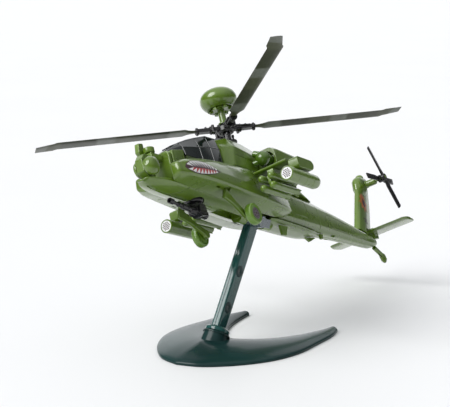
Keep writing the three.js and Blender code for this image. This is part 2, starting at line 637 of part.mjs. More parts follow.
function stabilator() {
  const { front, back, z, span } = STAB;
  const ring = (y, lead, trail) => [V(lead, y, z), V(lead - 2.4, y, z + 0.95), V(trail, y, z + 0.15),
    V(trail, y, z - 0.25), V(lead - 2.4, y, z - 0.85)];
  const plank = loft([ring(-span, front - 3.4, back), ring(-span + 1.6, front - 0.6, back),
    ring(span - 1.6, front - 0.6, back), ring(span, front - 3.4, back)]);
  const root = box([-127.5, -2.3, z - 3.8], [BOOM_END - GAP, 2.3, z + 1.0]);
  return union(plank, root);
}

function tailLeg() {
  const strut = rod(V(-121.6, 0, -39.3), V(-130.8, 0, -43.4), 1.2, 12);
  const foot = rod(V(-131.6, -0.95, -45), V(-131.6, 0.95, -45), 2.2, 20);
  const fork = rod(V(-129.6, 0, -42.7), V(-131.6, 0, -45), 0.95, 12);
  return cut(union(strut, foot, fork), box([BOOM_END - GAP, -4, -44], [-110, 4, -30]));
}

function tailShaft() {
  const from = V(TAIL_ROTOR.x, 2.8 + GAP, TAIL_ROTOR.z);
  const sleeve = rod(from, V(TAIL_ROTOR.x, 8.6, TAIL_ROTOR.z), 1.8, 20);
  const spindle = rod(from, V(TAIL_ROTOR.x, 14.6, TAIL_ROTOR.z), 0.8, 16);
  return union(sleeve, spindle);
}

// Two blades and their boss in one moulding, in the plane y.
function tailPair(y, direction, reach) {
  const along = direction.clone().normalize();
  const across = V(0, 1, 0).cross(along);
  const centre = V(TAIL_ROTOR.x, y, TAIL_ROTOR.z);
  const ring = (d, half, twist) => [[-half, -0.3], [half, -0.3], [half, 0.3], [-half, 0.3]]
    .map(([a, t]) => centre.clone().addScaledVector(along, d).addScaledVector(across, a)
      .add(V(0, t + twist * a, 0)));
  const strip = loft([[-reach, 1.5, -0.1], [-5, 1.6, -0.12], [-2.5, 0.9, 0], [2.5, 0.9, 0],
    [5, 1.6, 0.12], [reach, 1.5, 0.1]].map(([d, half, twist]) => ring(d, half, twist)));
  const boss = rod(V(centre.x, y - 0.9, centre.z), V(centre.x, y + 0.9, centre.z), 2.0, 20);
  const bore = rod(V(centre.x, y - 3, centre.z), V(centre.x, y + 3, centre.z), 0.8 + RUN, 16);
  return cut(union(strip, boss), bore);
}

// ---- main rotor -------------------------------------------------------------------------------------
const bladeAngle = (i) => THREE.MathUtils.degToRad(FIRST_BLADE + 90 * i);

function mast() {
  const foot = CORE_TOP + 0.4;
  const tube = turned([[MAST_BORE, foot], [MAST_R, foot], [MAST_R, 1.4], [MAST_BORE, 1.4],
    [MAST_BORE, foot]], V(0, 0, 0), V(0, 0, 1), 24);
  const shapes = [tube, turned([[1.4, -7.3], [3.9, -7.3], [3.9, -6.5], [1.4, -6.5], [1.4, -7.3]],
    V(0, 0, 0), V(0, 0, 1), 24)];
  for (let i = 0; i < 3; i += 1) {
    const a = (i * 2 * Math.PI) / 3 + 0.6;
    const [x, y] = [3 * Math.cos(a), 3 * Math.sin(a)];
    shapes.push(rod(V(x, y, -6.8), V(x, y, -3), 0.6, 10));
  }
  return union(...shapes);
}

const CUFF_END = 14;
function rotorHub() {
  const shapes = [turned([[0, -2.3], [3.4, -2.3], [3.9, -1.2], [3.9, 0.8], [2.9, 1.9], [0, 1.9]],
    V(0, 0, 0), V(0, 0, 1), 28)];
  for (let i = 0; i < 4; i += 1) {
    const turn = new THREE.Matrix4().makeRotationZ(bladeAngle(i));
    const arm = union(
      box([2, -1.5, -0.9], [CUFF_END, 1.5, 0.7]),
      rod(V(5.4, 0, -0.1), V(7.4, 0, -0.1), 1.9, 10),
      rod(V(CUFF_END - 1, 0, -0.1), V(CUFF_END - 0.2, 0, -0.1), 1.8, 10),
      rod(V(6.4, 2.3, -1.6), V(6.4, 2.3, 1.5), 0.7, 8),
      box([5.7, 1, -0.8], [7.1, 2.6, 0.5]),
    );
    shapes.push(arm.applyMatrix4(turn));
  }
  return cut(union(...shapes), rod(V(0, 0, -4), V(0, 0, 4), MAST_R + RUN, 24));
}

function blade(i) {
  const half = BLADE_CHORD / 2;
  const ring = (r, lead, trail, thick) => [V(r, lead, 0), V(r, lead - 1, thick / 2),
    V(r, trail, 0.12), V(r, trail, -0.12), V(r, lead - 1, -thick / 2)];
  const shape = loft([ring(CUFF_END + 0.1, 1.5, -1.5, 1.3), ring(16.5, 1.8, -1.8, 1.3),
    ring(19.5, half, -half, 1.2), ring(ROTOR_R - 9.5, half, -half, 1.0),
    ring(ROTOR_R - 7.5, half - 0.9, -half - 1, 0.9), ring(ROTOR_R, half - 3.2, -half - 1.6, 0.7)]);
  return shape.rotateZ(bladeAngle(i));
}

function radarStem() {
  const pin = MAST_BORE - RUN;
  const shapes = [turned([[0, -4], [pin, -4], [pin, 2.2], [2.7, 2.2], [2.7, 2.9], [1.6, 3.2],
    [1.6, 9.2], [4.3, 9.2], [4.3, 10.6], [2.4, 10.6], [2.4, 13], [0, 13]],
  V(0, 0, 0), V(0, 0, 1), 24)];
  for (let i = 0; i < 6; i += 1) {
    const a = (i * Math.PI) / 3;
    shapes.push(box([3.4, -0.7, 8.6], [5.0, 0.7, 10.4]).rotateZ(a));
  }
  return union(...shapes);
}

function radarDome() {
  const points = [[2.7, 13.4], [2.7, 10.9], [5.6, 10.9], [5.6, 10.2]];
  const halfHeight = 5.2;
  const start = Math.asin((10.2 - DOME_Z) / halfHeight);
  for (let i = 0; i <= 8; i += 1) {
    const a = start + ((Math.PI / 2 - start) * i) / 8;
    points.push([Math.max(0, DOME_R * Math.cos(a) ** 0.72), DOME_Z + halfHeight * Math.sin(a)]);
  }
  points[points.length - 1][0] = 0;
  points.push([0, 13.4], [2.7, 13.4]);
  return turned(points, V(0, 0, 0), V(0, 0, 1), 24);
}

// ---- assembly -------------------------------------------------------------------------------------------
const helicopter = new THREE.Group();
helicopter.position.copy(KNUCKLE_IN_HELI).negate();
helicopter.add(
  piece('core_front', studded(box([14.4, -CORE_HALF, CORE_FLOOR], [48.2, CORE_HALF, CORE_TOP - 1]),
    [23, 30, 37], CORE_TOP - 1.4), 'core'),
  piece('core_middle', box([-13.4, -CORE_HALF, CORE_FLOOR], [14, CORE_HALF, CORE_TOP]), 'core'),
  piece('keel', keel(), 'green'),
  piece('rear_belly', rearBelly(), 'green'),
  piece('nose_block', noseBlock(), 'green'),
  piece('nose_plate', nosePlate(), 'green'),
  ...pair('cheek', cheek(), 'green'),
  piece('canopy', canopy(), 'canopy'),
  ...pair('upper_deck', deckHalf(), 'green'),
  piece('rear_deck', rearDeck(), 'green'),
  ...pair('tail_boom', boomHalf(), 'green'),
  piece('fin', fin(), 'green'),
  piece('stabilator', stabilator(), 'green'),
  piece('tail_leg', tailLeg(), 'green'),
  piece('tail_shaft', tailShaft(), 'green'),
  piece('sensor_block', sensorBlock(), 'green'),
  piece('night_sight', nightSight(), 'green'),
  piece('sensor_drum_left', portSight(), 'green'),
  piece('sensor_drum_right', starboardSight(), 'green'),
  ...pair('engine', nacelle(), 'green'),
  ...pair('gearbox', gearboxBall(), 'dark_green'),
  ...pair('wing', wing(), 'green'),
  ...pair('outer_pylon', outerPylon(), 'green'),
  ...pair('inner_pylon', innerPylon(), 'green'),
  ...pair('rocket_pod', rocketPod(), 'green'),
  ...pair('missiles', missileRack(), 'green'),
  ...pair('gear_leg', leg(), 'green'),
  ...pair('wheel', wheel(), 'green'),
  piece('gun_ring', gunRing(), 'black'),
  piece('gun', gun(), 'black'),
  piece('antenna_front', frontAntenna(), 'green'),
  piece('antenna_rear', rearAntenna(), 'green'),
  piece('belly_fin', bellyFin(), 'green'),
  piece('mast', mast(), 'black'),
  piece('rotor_hub', rotorHub(), 'black'),
  ...[0, 1, 2, 3].map((i) => piece(`blade_${i + 1}`, blade(i), 'blade')),
  piece('radar_stem', radarStem(), 'green'),
  piece('radar_dome', radarDome(), 'green'),
  piece('tail_blades_outer', tailPair(13.6, V(0.545, 0, 0.84), TAIL_OUTER_BLADE), 'black'),
  piece('tail_blades_inner', tailPair(11.3, V(0.998, 0, -0.06), TAIL_INNER_BLADE), 'black'),
);

const banked = new THREE.Group();
banked.rotation.x = BANK;
banked.add(helicopter);

const pitched = new THREE.Group();
pitched.position.copy(KNUCKLE);
pitched.rotation.y = -PITCH;
pitched.add(piece('stand_knuckle', knuckle(), 'knuckle'), banked);

const upper = new THREE.Group();
upper.rotation.z = YAW;
upper.add(piece('stand_arm_left', armHalf(1), 'stand'),
  piece('stand_arm_right', armHalf(-1), 'stand'), pitched);

const model = new THREE.Group();
model.name = 'toy_helicopter';
model.add(piece('stand_base', standBase(), 'stand'), upper);

export default model;
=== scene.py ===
# A toy attack helicopter on its display stand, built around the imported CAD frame.
# Shapes are written in millimetres in the helicopter's own frame: origin at the rotor hub,
# +X forward, +Y port, +Z up the mast.  The frame's joints place that frame in the row frame.
import json
import math

import bmesh
import bpy
from mathutils import Matrix, Vector
from mathutils.bvhtree import BVHTree


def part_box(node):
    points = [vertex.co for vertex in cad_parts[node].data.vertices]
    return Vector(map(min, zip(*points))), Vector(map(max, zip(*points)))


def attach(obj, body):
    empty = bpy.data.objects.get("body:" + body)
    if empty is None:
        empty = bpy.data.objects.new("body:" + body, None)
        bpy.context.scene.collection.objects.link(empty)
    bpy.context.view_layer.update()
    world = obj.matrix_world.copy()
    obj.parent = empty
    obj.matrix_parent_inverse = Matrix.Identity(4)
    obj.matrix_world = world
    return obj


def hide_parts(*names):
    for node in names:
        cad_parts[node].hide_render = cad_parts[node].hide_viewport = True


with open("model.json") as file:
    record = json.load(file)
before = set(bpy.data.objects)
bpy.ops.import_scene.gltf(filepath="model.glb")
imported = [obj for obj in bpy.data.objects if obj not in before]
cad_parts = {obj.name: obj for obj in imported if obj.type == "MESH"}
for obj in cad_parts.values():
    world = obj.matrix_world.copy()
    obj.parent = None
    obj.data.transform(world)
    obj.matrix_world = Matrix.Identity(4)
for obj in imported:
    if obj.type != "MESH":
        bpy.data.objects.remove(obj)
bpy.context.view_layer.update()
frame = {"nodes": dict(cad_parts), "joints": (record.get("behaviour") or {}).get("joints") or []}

MM = 0.001
TAU = 2 * math.pi

# ---- frames ------------------------------------------------------------------------------
JOINTS = {joint["name"]: joint for joint in frame["joints"]}


def joint_frame(origin, forward, port, up):
    matrix = Matrix((forward, port, up)).transposed().to_4x4()
    matrix.translation = origin
    return matrix


UP = Vector(JOINTS["main_rotor_spin"]["axis"]).normalized()
PORT = Vector(JOINTS["tail_rotor_spin"]["axis"])
PORT = (PORT - UP * PORT.dot(UP)).normalized()
HELI = joint_frame(Vector(JOINTS["main_rotor_spin"]["pos_m"]), PORT.cross(UP), PORT, UP)
KNUCKLE = Vector(JOINTS["stand_roll"]["pos_m"])
ROLL = Vector(JOINTS["stand_roll"]["axis"]).normalized()
PITCH = Vector(JOINTS["stand_pitch"]["axis"]).normalized()
GIMBAL = joint_frame(KNUCKLE, ROLL, PITCH, ROLL.cross(PITCH))


def in_heli(point):
    """A row-frame point, in millimetres of the helicopter's frame."""
    return (HELI.inverted() @ Vector(point)) / MM


def heli_joint(name):
    return in_heli(JOINTS[name]["pos_m"])


# ---- camera ------------------------------------------------------------------------------
CAMERA_PLACE = Vector((0.4331, 0.3219, 0.1535))
CAMERA_BACK = Vector((0.7961, 0.5825, 0.1646)).normalized()
FOCAL_MM = 104.6

camera_data = bpy.data.cameras.new("camera")
camera_data.lens = FOCAL_MM
camera_data.sensor_width = 36
camera_data.clip_start = 0.01
camera = bpy.data.objects.new("camera", camera_data)
bpy.context.scene.collection.objects.link(camera)
camera_right = Vector((0, 0, 1)).cross(CAMERA_BACK).normalized()
camera.matrix_world = joint_frame(
    CAMERA_PLACE, camera_right, CAMERA_BACK.cross(camera_right), CAMERA_BACK)
bpy.context.scene.camera = camera


# ---- mesh helpers (millimetres) ----------------------------------------------------------
def V(*values):
    return Vector(values)


def loft(rings, caps=(True, True), loop=True):
    """A skin over rings of points with one count."""
    bm = bmesh.new()
    rows = [[bm.verts.new(point) for point in ring] for ring in rings]
    count = len(rings[0])
    for a, b in zip(rows, rows[1:]):
        for j in range(count if loop else count - 1):
            k = (j + 1) % count
            bm.faces.new((a[j], a[k], b[k], b[j]))
    if caps[0]:
        bm.faces.new(list(reversed(rows[0])))
    if caps[1]:
        bm.faces.new(rows[-1])
    bmesh.ops.recalc_face_normals(bm, faces=bm.faces)
    return bm


def lathe(profile, origin, axis, sides=48):
    """Turned shape; profile pairs are radius and distance along the axis."""
    turn = V(0, 0, 1).rotation_difference(Vector(axis))
    bm = bmesh.new()
    rows = []
    for radius, along in profile:
        if radius < 1e-6:
            rows.append([bm.verts.new(turn @ V(0, 0, along) + Vector(origin))])
            continue
        rows.append([
            bm.verts.new(turn @ V(radius * math.cos(a), radius * math.sin(a), along) + Vector(origin))
            for a in (TAU * i / sides for i in range(sides))])
    for a, b in zip(rows, rows[1:]):
        for i in range(sides):
            j = (i + 1) % sides
            if len(a) == 1 and len(b) == 1:
                continue
            if len(a) == 1:
                bm.faces.new((a[0], b[j], b[i]))
            elif len(b) == 1:
                bm.faces.new((a[i], a[j], b[0]))
            else:
                bm.faces.new((a[i], a[j], b[j], b[i]))
    bmesh.ops.recalc_face_normals(bm, faces=bm.faces)
    return bm


def prism(outline, low, high, plane="xz"):
    """An outline in one plane given a depth across it."""
    place = {
        "xz": lambda a, b, d: V(a, d, b),
        "xy": lambda a, b, d: V(a, b, d),
        "yz": lambda a, b, d: V(d, a, b),
    }[plane]
    return loft([[place(a, b, d) for a, b in outline] for d in (low, high)])


def cuboid(low, high):
    return prism([(low[0], low[2]), (high[0], low[2]), (high[0], high[2]), (low[0], high[2])],
                 low[1], high[1])


def rod(start, end, radius, sides=32, end_radius=None):
    start, end = Vector(start), Vector(end)
    length = (end - start).length
    tip = radius if end_radius is None else end_radius
    return lathe([(0, 0), (radius, 0), (tip, length), (0, length)], start, end - start, sides)


def tube(points, radius, sides=10):
    """A round tube along points."""
    points = [Vector(p) for p in points]
    rings = []
    side = None
    for i, point in enumerate(points):
        along = (points[min(i + 1, len(points) - 1)] - points[max(i - 1, 0)]).normalized()
        if side is None:
            side = along.orthogonal().normalized()
        side = (side - along * side.dot(along)).normalized()
        other = along.cross(side)
        rings.append([point + radius * (math.cos(a) * side + math.sin(a) * other)
                      for a in (TAU * k / sides for k in range(sides))])
    return loft(rings)


def fillet(points, radii, steps=4):
    """A closed outline with each corner rounded off."""
    points = [Vector(p) for p in points]
    if isinstance(radii, (int, float)):
        radii = [radii] * len(points)
    out = []
    for i, (corner, radius) in enumerate(zip(points, radii)):
        before = points[i - 1] - corner
        after = points[(i + 1) % len(points)] - corner
        a = corner + before.normalized() * min(radius, 0.46 * before.length)
        b = corner + after.normalized() * min(radius, 0.46 * after.length)
        for k in range(steps + 1):
            t = k / steps
            out.append((1 - t) ** 2 * a + 2 * t * (1 - t) * corner + t * t * b)
    return out


def eased(xs, ys, x):
    """Monotone cubic through points, so a loft bends smoothly and never overshoots."""
    order = 1 if xs[-1] > xs[0] else -1
    i = max(k for k in range(len(xs) - 1) if order * (x - xs[k]) >= -1e-9 or k == 0)
    slopes = [(ys[k + 1] - ys[k]) / (xs[k + 1] - xs[k]) for k in range(len(xs) - 1)]

    def tangent(k):
        if k == 0 or k == len(xs) - 1:
            return slopes[0] if k == 0 else slopes[-1]
        a, b = slopes[k - 1], slopes[k]
        return 0 if a * b <= 0 else 2 * a * b / (a + b)

    h = xs[i + 1] - xs[i]
    t = (x - xs[i]) / h
    return ((2 * t ** 3 - 3 * t * t + 1) * ys[i] + (t ** 3 - 2 * t * t + t) * h * tangent(i)
            + (3 * t * t - 2 * t ** 3) * ys[i + 1] + (t ** 3 - t * t) * h * tangent(i + 1))


def between(stations, step=1.5):
    """Stations (x, numbers...) filled in along X."""
    xs = [s[0] for s in stations]
    columns = list(zip(*[s[1:] for s in stations]))
    out = []
    for a, b in zip(xs, xs[1:]):
        count = max(1, round(abs(b - a) / step))
        for k in range(count):
            x = a + (b - a) * k / count
            out.append((x, *[eased(xs, column, x) for column in columns]))
    out.append(stations[-1])
    return out


def domed(ring, direction, length, power=0.5, steps=6):
    """Rings that close a loft's end in a blunt dome, from the full ring outwards."""
    centre = sum(ring, V(0, 0, 0)) / len(ring)
    out = []
    for k in range(1, steps + 1):
        a = 0.5 * math.pi * k / steps
        scale = max(0.03, math.cos(a) ** power)
        out.append([centre + (p - centre) * scale + Vector(direction) * length * math.sin(a)
                    for p in ring])
    return out


def mirrored_half(half):
    """Half outline (y, z) from top centre to bottom centre, repeated to starboard."""
    return list(half) + [(-y, z) for y, z in reversed(half) if y > 1e-6]


def merged(*parts):
    bm = bmesh.new()
    for part in parts:
        mesh = bpy.data.meshes.new("part")
        part.to_mesh(mesh)
        part.free()
        bm.from_mesh(mesh)
        bpy.data.meshes.remove(mesh)
    return bm


def starboard(bm):
    """The mirror image across the helicopter's middle."""
    copy = bm.copy()
    for vert in copy.verts:
        vert.co.y = -vert.co.y
    bmesh.ops.reverse_faces(copy, faces=copy.faces)
    return copy


def boolean(bm, cutters, operation="DIFFERENCE"):
    """The shape with others cut from it or joined to it, one at a time."""
    def thing(shape):
        mesh = bpy.data.meshes.new("solid")
        shape.to_mesh(mesh)
        shape.free()
        holder = bpy.data.objects.new("solid", mesh)
        bpy.context.scene.collection.objects.link(holder)
        return holder

    for cutter in cutters:
        holder, tool = thing(bm), thing(cutter)
        modifier = holder.modifiers.new("cut", "BOOLEAN")
        modifier.operation = operation
        modifier.solver = "EXACT"
        modifier.object = tool
        bpy.context.view_layer.update()
        solved = holder.evaluated_get(bpy.context.evaluated_depsgraph_get())
        bm = bmesh.new()
        bm.from_mesh(solved.to_mesh())
        solved.to_mesh_clear()
        for item in (holder, tool):
            mesh = item.data
            bpy.data.objects.remove(item)
            bpy.data.meshes.remove(mesh)
        bmesh.ops.remove_doubles(bm, verts=bm.verts, dist=1e-4)
        if not bm.faces:
            raise ValueError("a boolean left nothing")
    return bm


def piece(name, bm, material, body, nodes=(), slot="green_plastic", place=HELI, bevel=0.0,
          sharp=32, segments=3):
    """A finished piece: millimetre mesh to an object that rides on a CAD body."""
    mesh = bpy.data.meshes.new(name)
    bm.to_mesh(mesh)
    bm.free()
    mesh.transform(Matrix.Scale(MM, 4))
    mesh.shade_smooth()
    mesh.set_sharp_from_angle(angle=math.radians(sharp))
    mesh.materials.append(material)
    obj = bpy.data.objects.new(name, mesh)
    bpy.context.scene.collection.objects.link(obj)
    obj.matrix_world = place
    if bevel:
        modifier = obj.modifiers.new("edges", "BEVEL")
        modifier.width = bevel * MM
        modifier.segments = segments
        modifier.limit_method = "ANGLE"
        modifier.angle_limit = math.radians(35)
        modifier.use_clamp_overlap = True
        modifier.harden_normals = True
    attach(obj, body)
    if nodes:
        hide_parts(*nodes)
    return obj


# ---- materials ---------------------------------------------------------------------------
class Nodes:
    """Short ways to add shader nodes."""

    def __init__(self, name):
        self.material = bpy.data.materials.new(name)
        self.material.use_nodes = True
        self.tree = self.material.node_tree
        self.shader = self.tree.nodes["Principled BSDF"]

    def add(self, kind, **values):
        node = self.tree.nodes.new(kind)
        for key, value in values.items():
            setattr(node, key, value)
        return node

    def link(self, source, target):
        self.tree.links.new(source, target)

    def place(self):
        return self.add("ShaderNodeTexCoord").outputs["Object"]

    def noise(self, scale, detail=3.0, vector=None, rough=0.5):
        node = self.add("ShaderNodeTexNoise")
        node.inputs["Scale"].default_value = scale
        node.inputs["Detail"].default_value = detail
        node.inputs["Roughness"].default_value = rough
        self.link(vector or self.place(), node.inputs["Vector"])
        return node.outputs["Fac"]

    def ramp(self, source, stops, smooth="LINEAR"):
        node = self.add("ShaderNodeValToRGB")
        node.color_ramp.interpolation = smooth
        for _ in range(len(stops) - 2):
            node.color_ramp.elements.new(0.5)
        for element, (at, colour) in zip(node.color_ramp.elements, stops):
            element.position = at
            element.color = (*colour, 1) if len(colour) == 3 else colour
        self.link(source, node.inputs["Fac"])
        return node.outputs["Color"]

    def math(self, operation, a, b=0.5, clamp=False):
        node = self.add("ShaderNodeMath", operation=operation, use_clamp=clamp)
        for socket, value in zip(node.inputs, (a, b)):
            if isinstance(value, (int, float)):
                socket.default_value = value
            else:
                self.link(value, socket)
        return node.outputs[0]

    def mix(self, factor, a, b, blend="MIX"):
        node = self.add("ShaderNodeMix", data_type="RGBA", blend_type=blend)
        for socket, value in ((node.inputs[0], factor), (node.inputs[6], a), (node.inputs[7], b)):
            if isinstance(value, (int, float)):
                socket.default_value = value
            elif isinstance(value, tuple):
                socket.default_value = (*value, 1)
            else:
                self.link(value, socket)
        return node.outputs[2]

    def bump(self, height, strength, distance=0.0002, below=None):
        node = self.add("ShaderNodeBump")
        node.inputs["Strength"].default_value = strength
        node.inputs["Distance"].default_value = distance
        self.link(height, node.inputs["Height"])
        if below is not None:
            self.link(below, node.inputs["Normal"])
        return node.outputs["Normal"]

    def split(self, vector):
        node = self.add("ShaderNodeSeparateXYZ")
        self.link(vector, node.inputs[0])
        return node.outputs


def tinted(colour, factor):
    return tuple(min(1.0, c * factor) for c in colour)


def moulded(name, colour, rough=0.3, coat=0.75, grain=0.2):
    """Injection-moulded plastic: slight swirl in the colour, worn edges, fine surface grain."""
    n = Nodes(name)
    swirl = n.ramp(n.noise(55, 4), [(0.3, tinted(colour, 0.86)), (0.7, tinted(colour, 1.12))])
    fleck = n.ramp(n.noise(1500, 2), [(0.42, (0.94, 0.94, 0.94)), (0.6, (1.03, 1.03, 1.03))])
    body = n.mix(1.0, swirl, fleck, "MULTIPLY")
    edge = n.ramp(n.add("ShaderNodeNewGeometry").outputs["Pointiness"],
                  [(0.52, (0, 0, 0)), (0.62, (1, 1, 1))])
    worn = n.math("MULTIPLY", edge, n.noise(420, 2))
    n.link(n.mix(worn, body, tinted(colour, 1.55)), n.shader.inputs["Base Color"])
    smear = n.ramp(n.noise(120, 4), [(0.3, (rough - 0.06,) * 3), (0.75, (rough + 0.08,) * 3)])
    n.link(smear, n.shader.inputs["Roughness"])
    wavy = n.bump(n.noise(90, 2), 0.10, 0.0006)
    n.link(n.bump(n.noise(3800, 3), grain, 0.00003, wavy), n.shader.inputs["Normal"])
    n.shader.inputs["Coat Weight"].default_value = coat
    n.shader.inputs["Coat Roughness"].default_value = 0.12
    return n.material


GREEN_TONE = (0.094, 0.168, 0.010)
GREEN = moulded("green_plastic", GREEN_TONE)
DEEP_GREEN = moulded("gearbox_green", (0.06, 0.13, 0.008), 0.24)
WHEEL_GREEN = moulded("wheel_plastic", (0.11, 0.225, 0.014), 0.28)
BRICK = moulded("inner_brick", (0.07, 0.11, 0.03), 0.5, 0.0)
BLACK = moulded("black_plastic", (0.009, 0.009, 0.010), 0.24, 0.0)


def smoky(name, tint, depth_tint, rough=0.08, weight=0.35, coat=0.6, gloss=0.5):
    """Dark see-through plastic: deep body colour, streaks of flow, and a polished face."""
    n = Nodes(name)
    flow = n.noise(26, 3)
    n.link(n.ramp(flow, [(0.3, depth_tint), (0.72, tint)]), n.shader.inputs["Base Color"])
    n.link(n.ramp(n.noise(700, 2), [(0.3, (rough,) * 3), (0.8, (rough + 0.07,) * 3)]),
           n.shader.inputs["Roughness"])
    n.link(n.bump(n.noise(160, 2), 0.06, 0.0004), n.shader.inputs["Normal"])
    n.shader.inputs["Transmission Weight"].default_value = weight
    n.shader.inputs["IOR"].default_value = 1.49
    n.shader.inputs["Specular IOR Level"].default_value = gloss
    n.shader.inputs["Coat Weight"].default_value = coat
    n.shader.inputs["Coat Roughness"].default_value = 0.05
    return n.material


STAND = smoky("stand_plastic", (0.014, 0.05, 0.046), (0.007, 0.026, 0.026), 0.2, 0.1, 0.06, 0.16)
ARM = smoky("arm_plastic", (0.03, 0.15, 0.135), (0.016, 0.085, 0.078), 0.10, 0.3, 0.25, 0.4)
SMOKE = smoky("knuckle_plastic", (0.30, 0.38, 0.42), (0.16, 0.21, 0.24), 0.1, 0.5)
CANOPY = smoky("canopy_plastic", (0.004, 0.013, 0.011), (0.002, 0.006, 0.005), 0.04, 0.05, 0.2)


def printed(name, colour, rough=0.3):
    """Printed film, a little uneven in tone and faintly dotted."""
    n = Nodes(name)
    tone = n.ramp(n.noise(320, 4), [(0.3, tinted(colour, 0.86)), (0.7, tinted(colour, 1.06))])
    n.link(tone, n.shader.inputs["Base Color"])
    n.link(n.ramp(n.noise(900, 2), [(0.3, (rough,) * 3), (0.8, (rough + 0.1,) * 3)]),
           n.shader.inputs["Roughness"])
    n.link(n.bump(n.noise(2400, 2), 0.12, 0.00002), n.shader.inputs["Normal"])
    n.shader.inputs["Coat Weight"].default_value = 0.3
    return n.material


WHITE_PRINT = printed("print_white", (0.80, 0.81, 0.80))
RED_PRINT = printed("print_red", (0.42, 0.018, 0.02))
MAROON_PRINT = printed("print_maroon", (0.045, 0.012, 0.022))
GREY_PRINT = printed("print_grey", (0.20, 0.17, 0.21))
ORANGE_PRINT = printed("print_orange", (0.42, 0.12, 0.025))


def blade_finish():
    """Satin blade: printed patches of olive and grey, set by distance along the blade."""
    n = Nodes("blade_plastic")
    place = n.place()
    along = n.split(place)
    wobble = n.math("MULTIPLY", n.noise(60, 2), 0.008)
    reach = n.math("MULTIPLY", n.math("ADD", along["X"], wobble), 1 / 0.09)
    dark, mid, pale = (0.030, 0.034, 0.018), (0.058, 0.064, 0.036), (0.135, 0.145, 0.125)
    patches = n.ramp(reach, [
        (0.0, mid), (0.24, mid), (0.262, pale), (0.34, pale), (0.36, dark), (0.47, dark),
        (0.485, mid), (0.60, mid), (0.615, pale), (0.70, pale), (0.715, dark), (0.86, dark),
        (0.872, mid), (0.93, mid), (0.945, pale), (1.0, pale)])
    fleck = n.ramp(n.noise(900, 3), [(0.35, (0.86, 0.86, 0.86)), (0.7, (1.12, 1.12, 1.1))])
    n.link(n.mix(1.0, patches, fleck, "MULTIPLY"), n.shader.inputs["Base Color"])
    n.link(n.ramp(n.noise(200, 3), [(0.3, (0.34,) * 3), (0.8, (0.48,) * 3)]),
           n.shader.inputs["Roughness"])
    n.link(n.bump(n.noise(2600, 2), 0.2, 0.00003), n.shader.inputs["Normal"])
    return n.material


BLADE = blade_finish()


# ---- stand -------------------------------------------------------------------------------
ARM_FOOT = V(0, 0, 5.9)
ARM_DIR = (V(-27.9, 0, 51.9) - ARM_FOOT).normalized()
ARM_LENGTH = (V(-27.9, 0, 51.9) - ARM_FOOT).length
ROW = Matrix.Identity(4)
arm_yaw = math.atan2(KNUCKLE.y, KNUCKLE.x) + math.pi
ARM_PLACE = Matrix.Rotation(arm_yaw, 4, "Z") @ Matrix.Translation(ARM_FOOT * MM) @ (
    V(0, 0, 1).rotation_difference(ARM_DIR).to_matrix().to_4x4())


def curve_through(points, count):
    """Evenly spaced points on a centripetal Catmull-Rom curve."""
    points = [Vector(p) for p in points]
    ends = [2 * points[0] - points[1], *points, 2 * points[-1] - points[-2]]
    fine = []
    for i in range(len(points) - 1):
        p = ends[i:i + 4]
        knots = [0.0]
        for a, b in zip(p, p[1:]):
            knots.append(knots[-1] + (b - a).length ** 0.5)
        for k in range(24):
            t = knots[1] + (knots[2] - knots[1]) * k / 24
            level = p
            for order in (1, 2, 3):
                level = [
                    level[m] * ((knots[m + order] - t) / (knots[m + order] - knots[m]))
                    + level[m + 1] * ((t - knots[m]) / (knots[m + order] - knots[m]))
                    if order < 3 else
                    level[m] * ((knots[2] - t) / (knots[2] - knots[1]))
                    + level[m + 1] * ((t - knots[1]) / (knots[2] - knots[1]))
                    for m in range(len(level) - 1)]
            fine.append(level[0])
    fine.append(points[-1])
    lengths = [0.0]
    for a, b in zip(fine, fine[1:]):
        lengths.append(lengths[-1] + (b - a).length)
    out = []
    j = 0
    for i in range(count):
        want = lengths[-1] * i / (count - 1)
        while j < len(lengths) - 2 and lengths[j + 1] < want:
            j += 1
        t = (want - lengths[j]) / max(1e-9, lengths[j + 1] - lengths[j])
        out.append(fine[j].lerp(fine[j + 1], t))
    return out


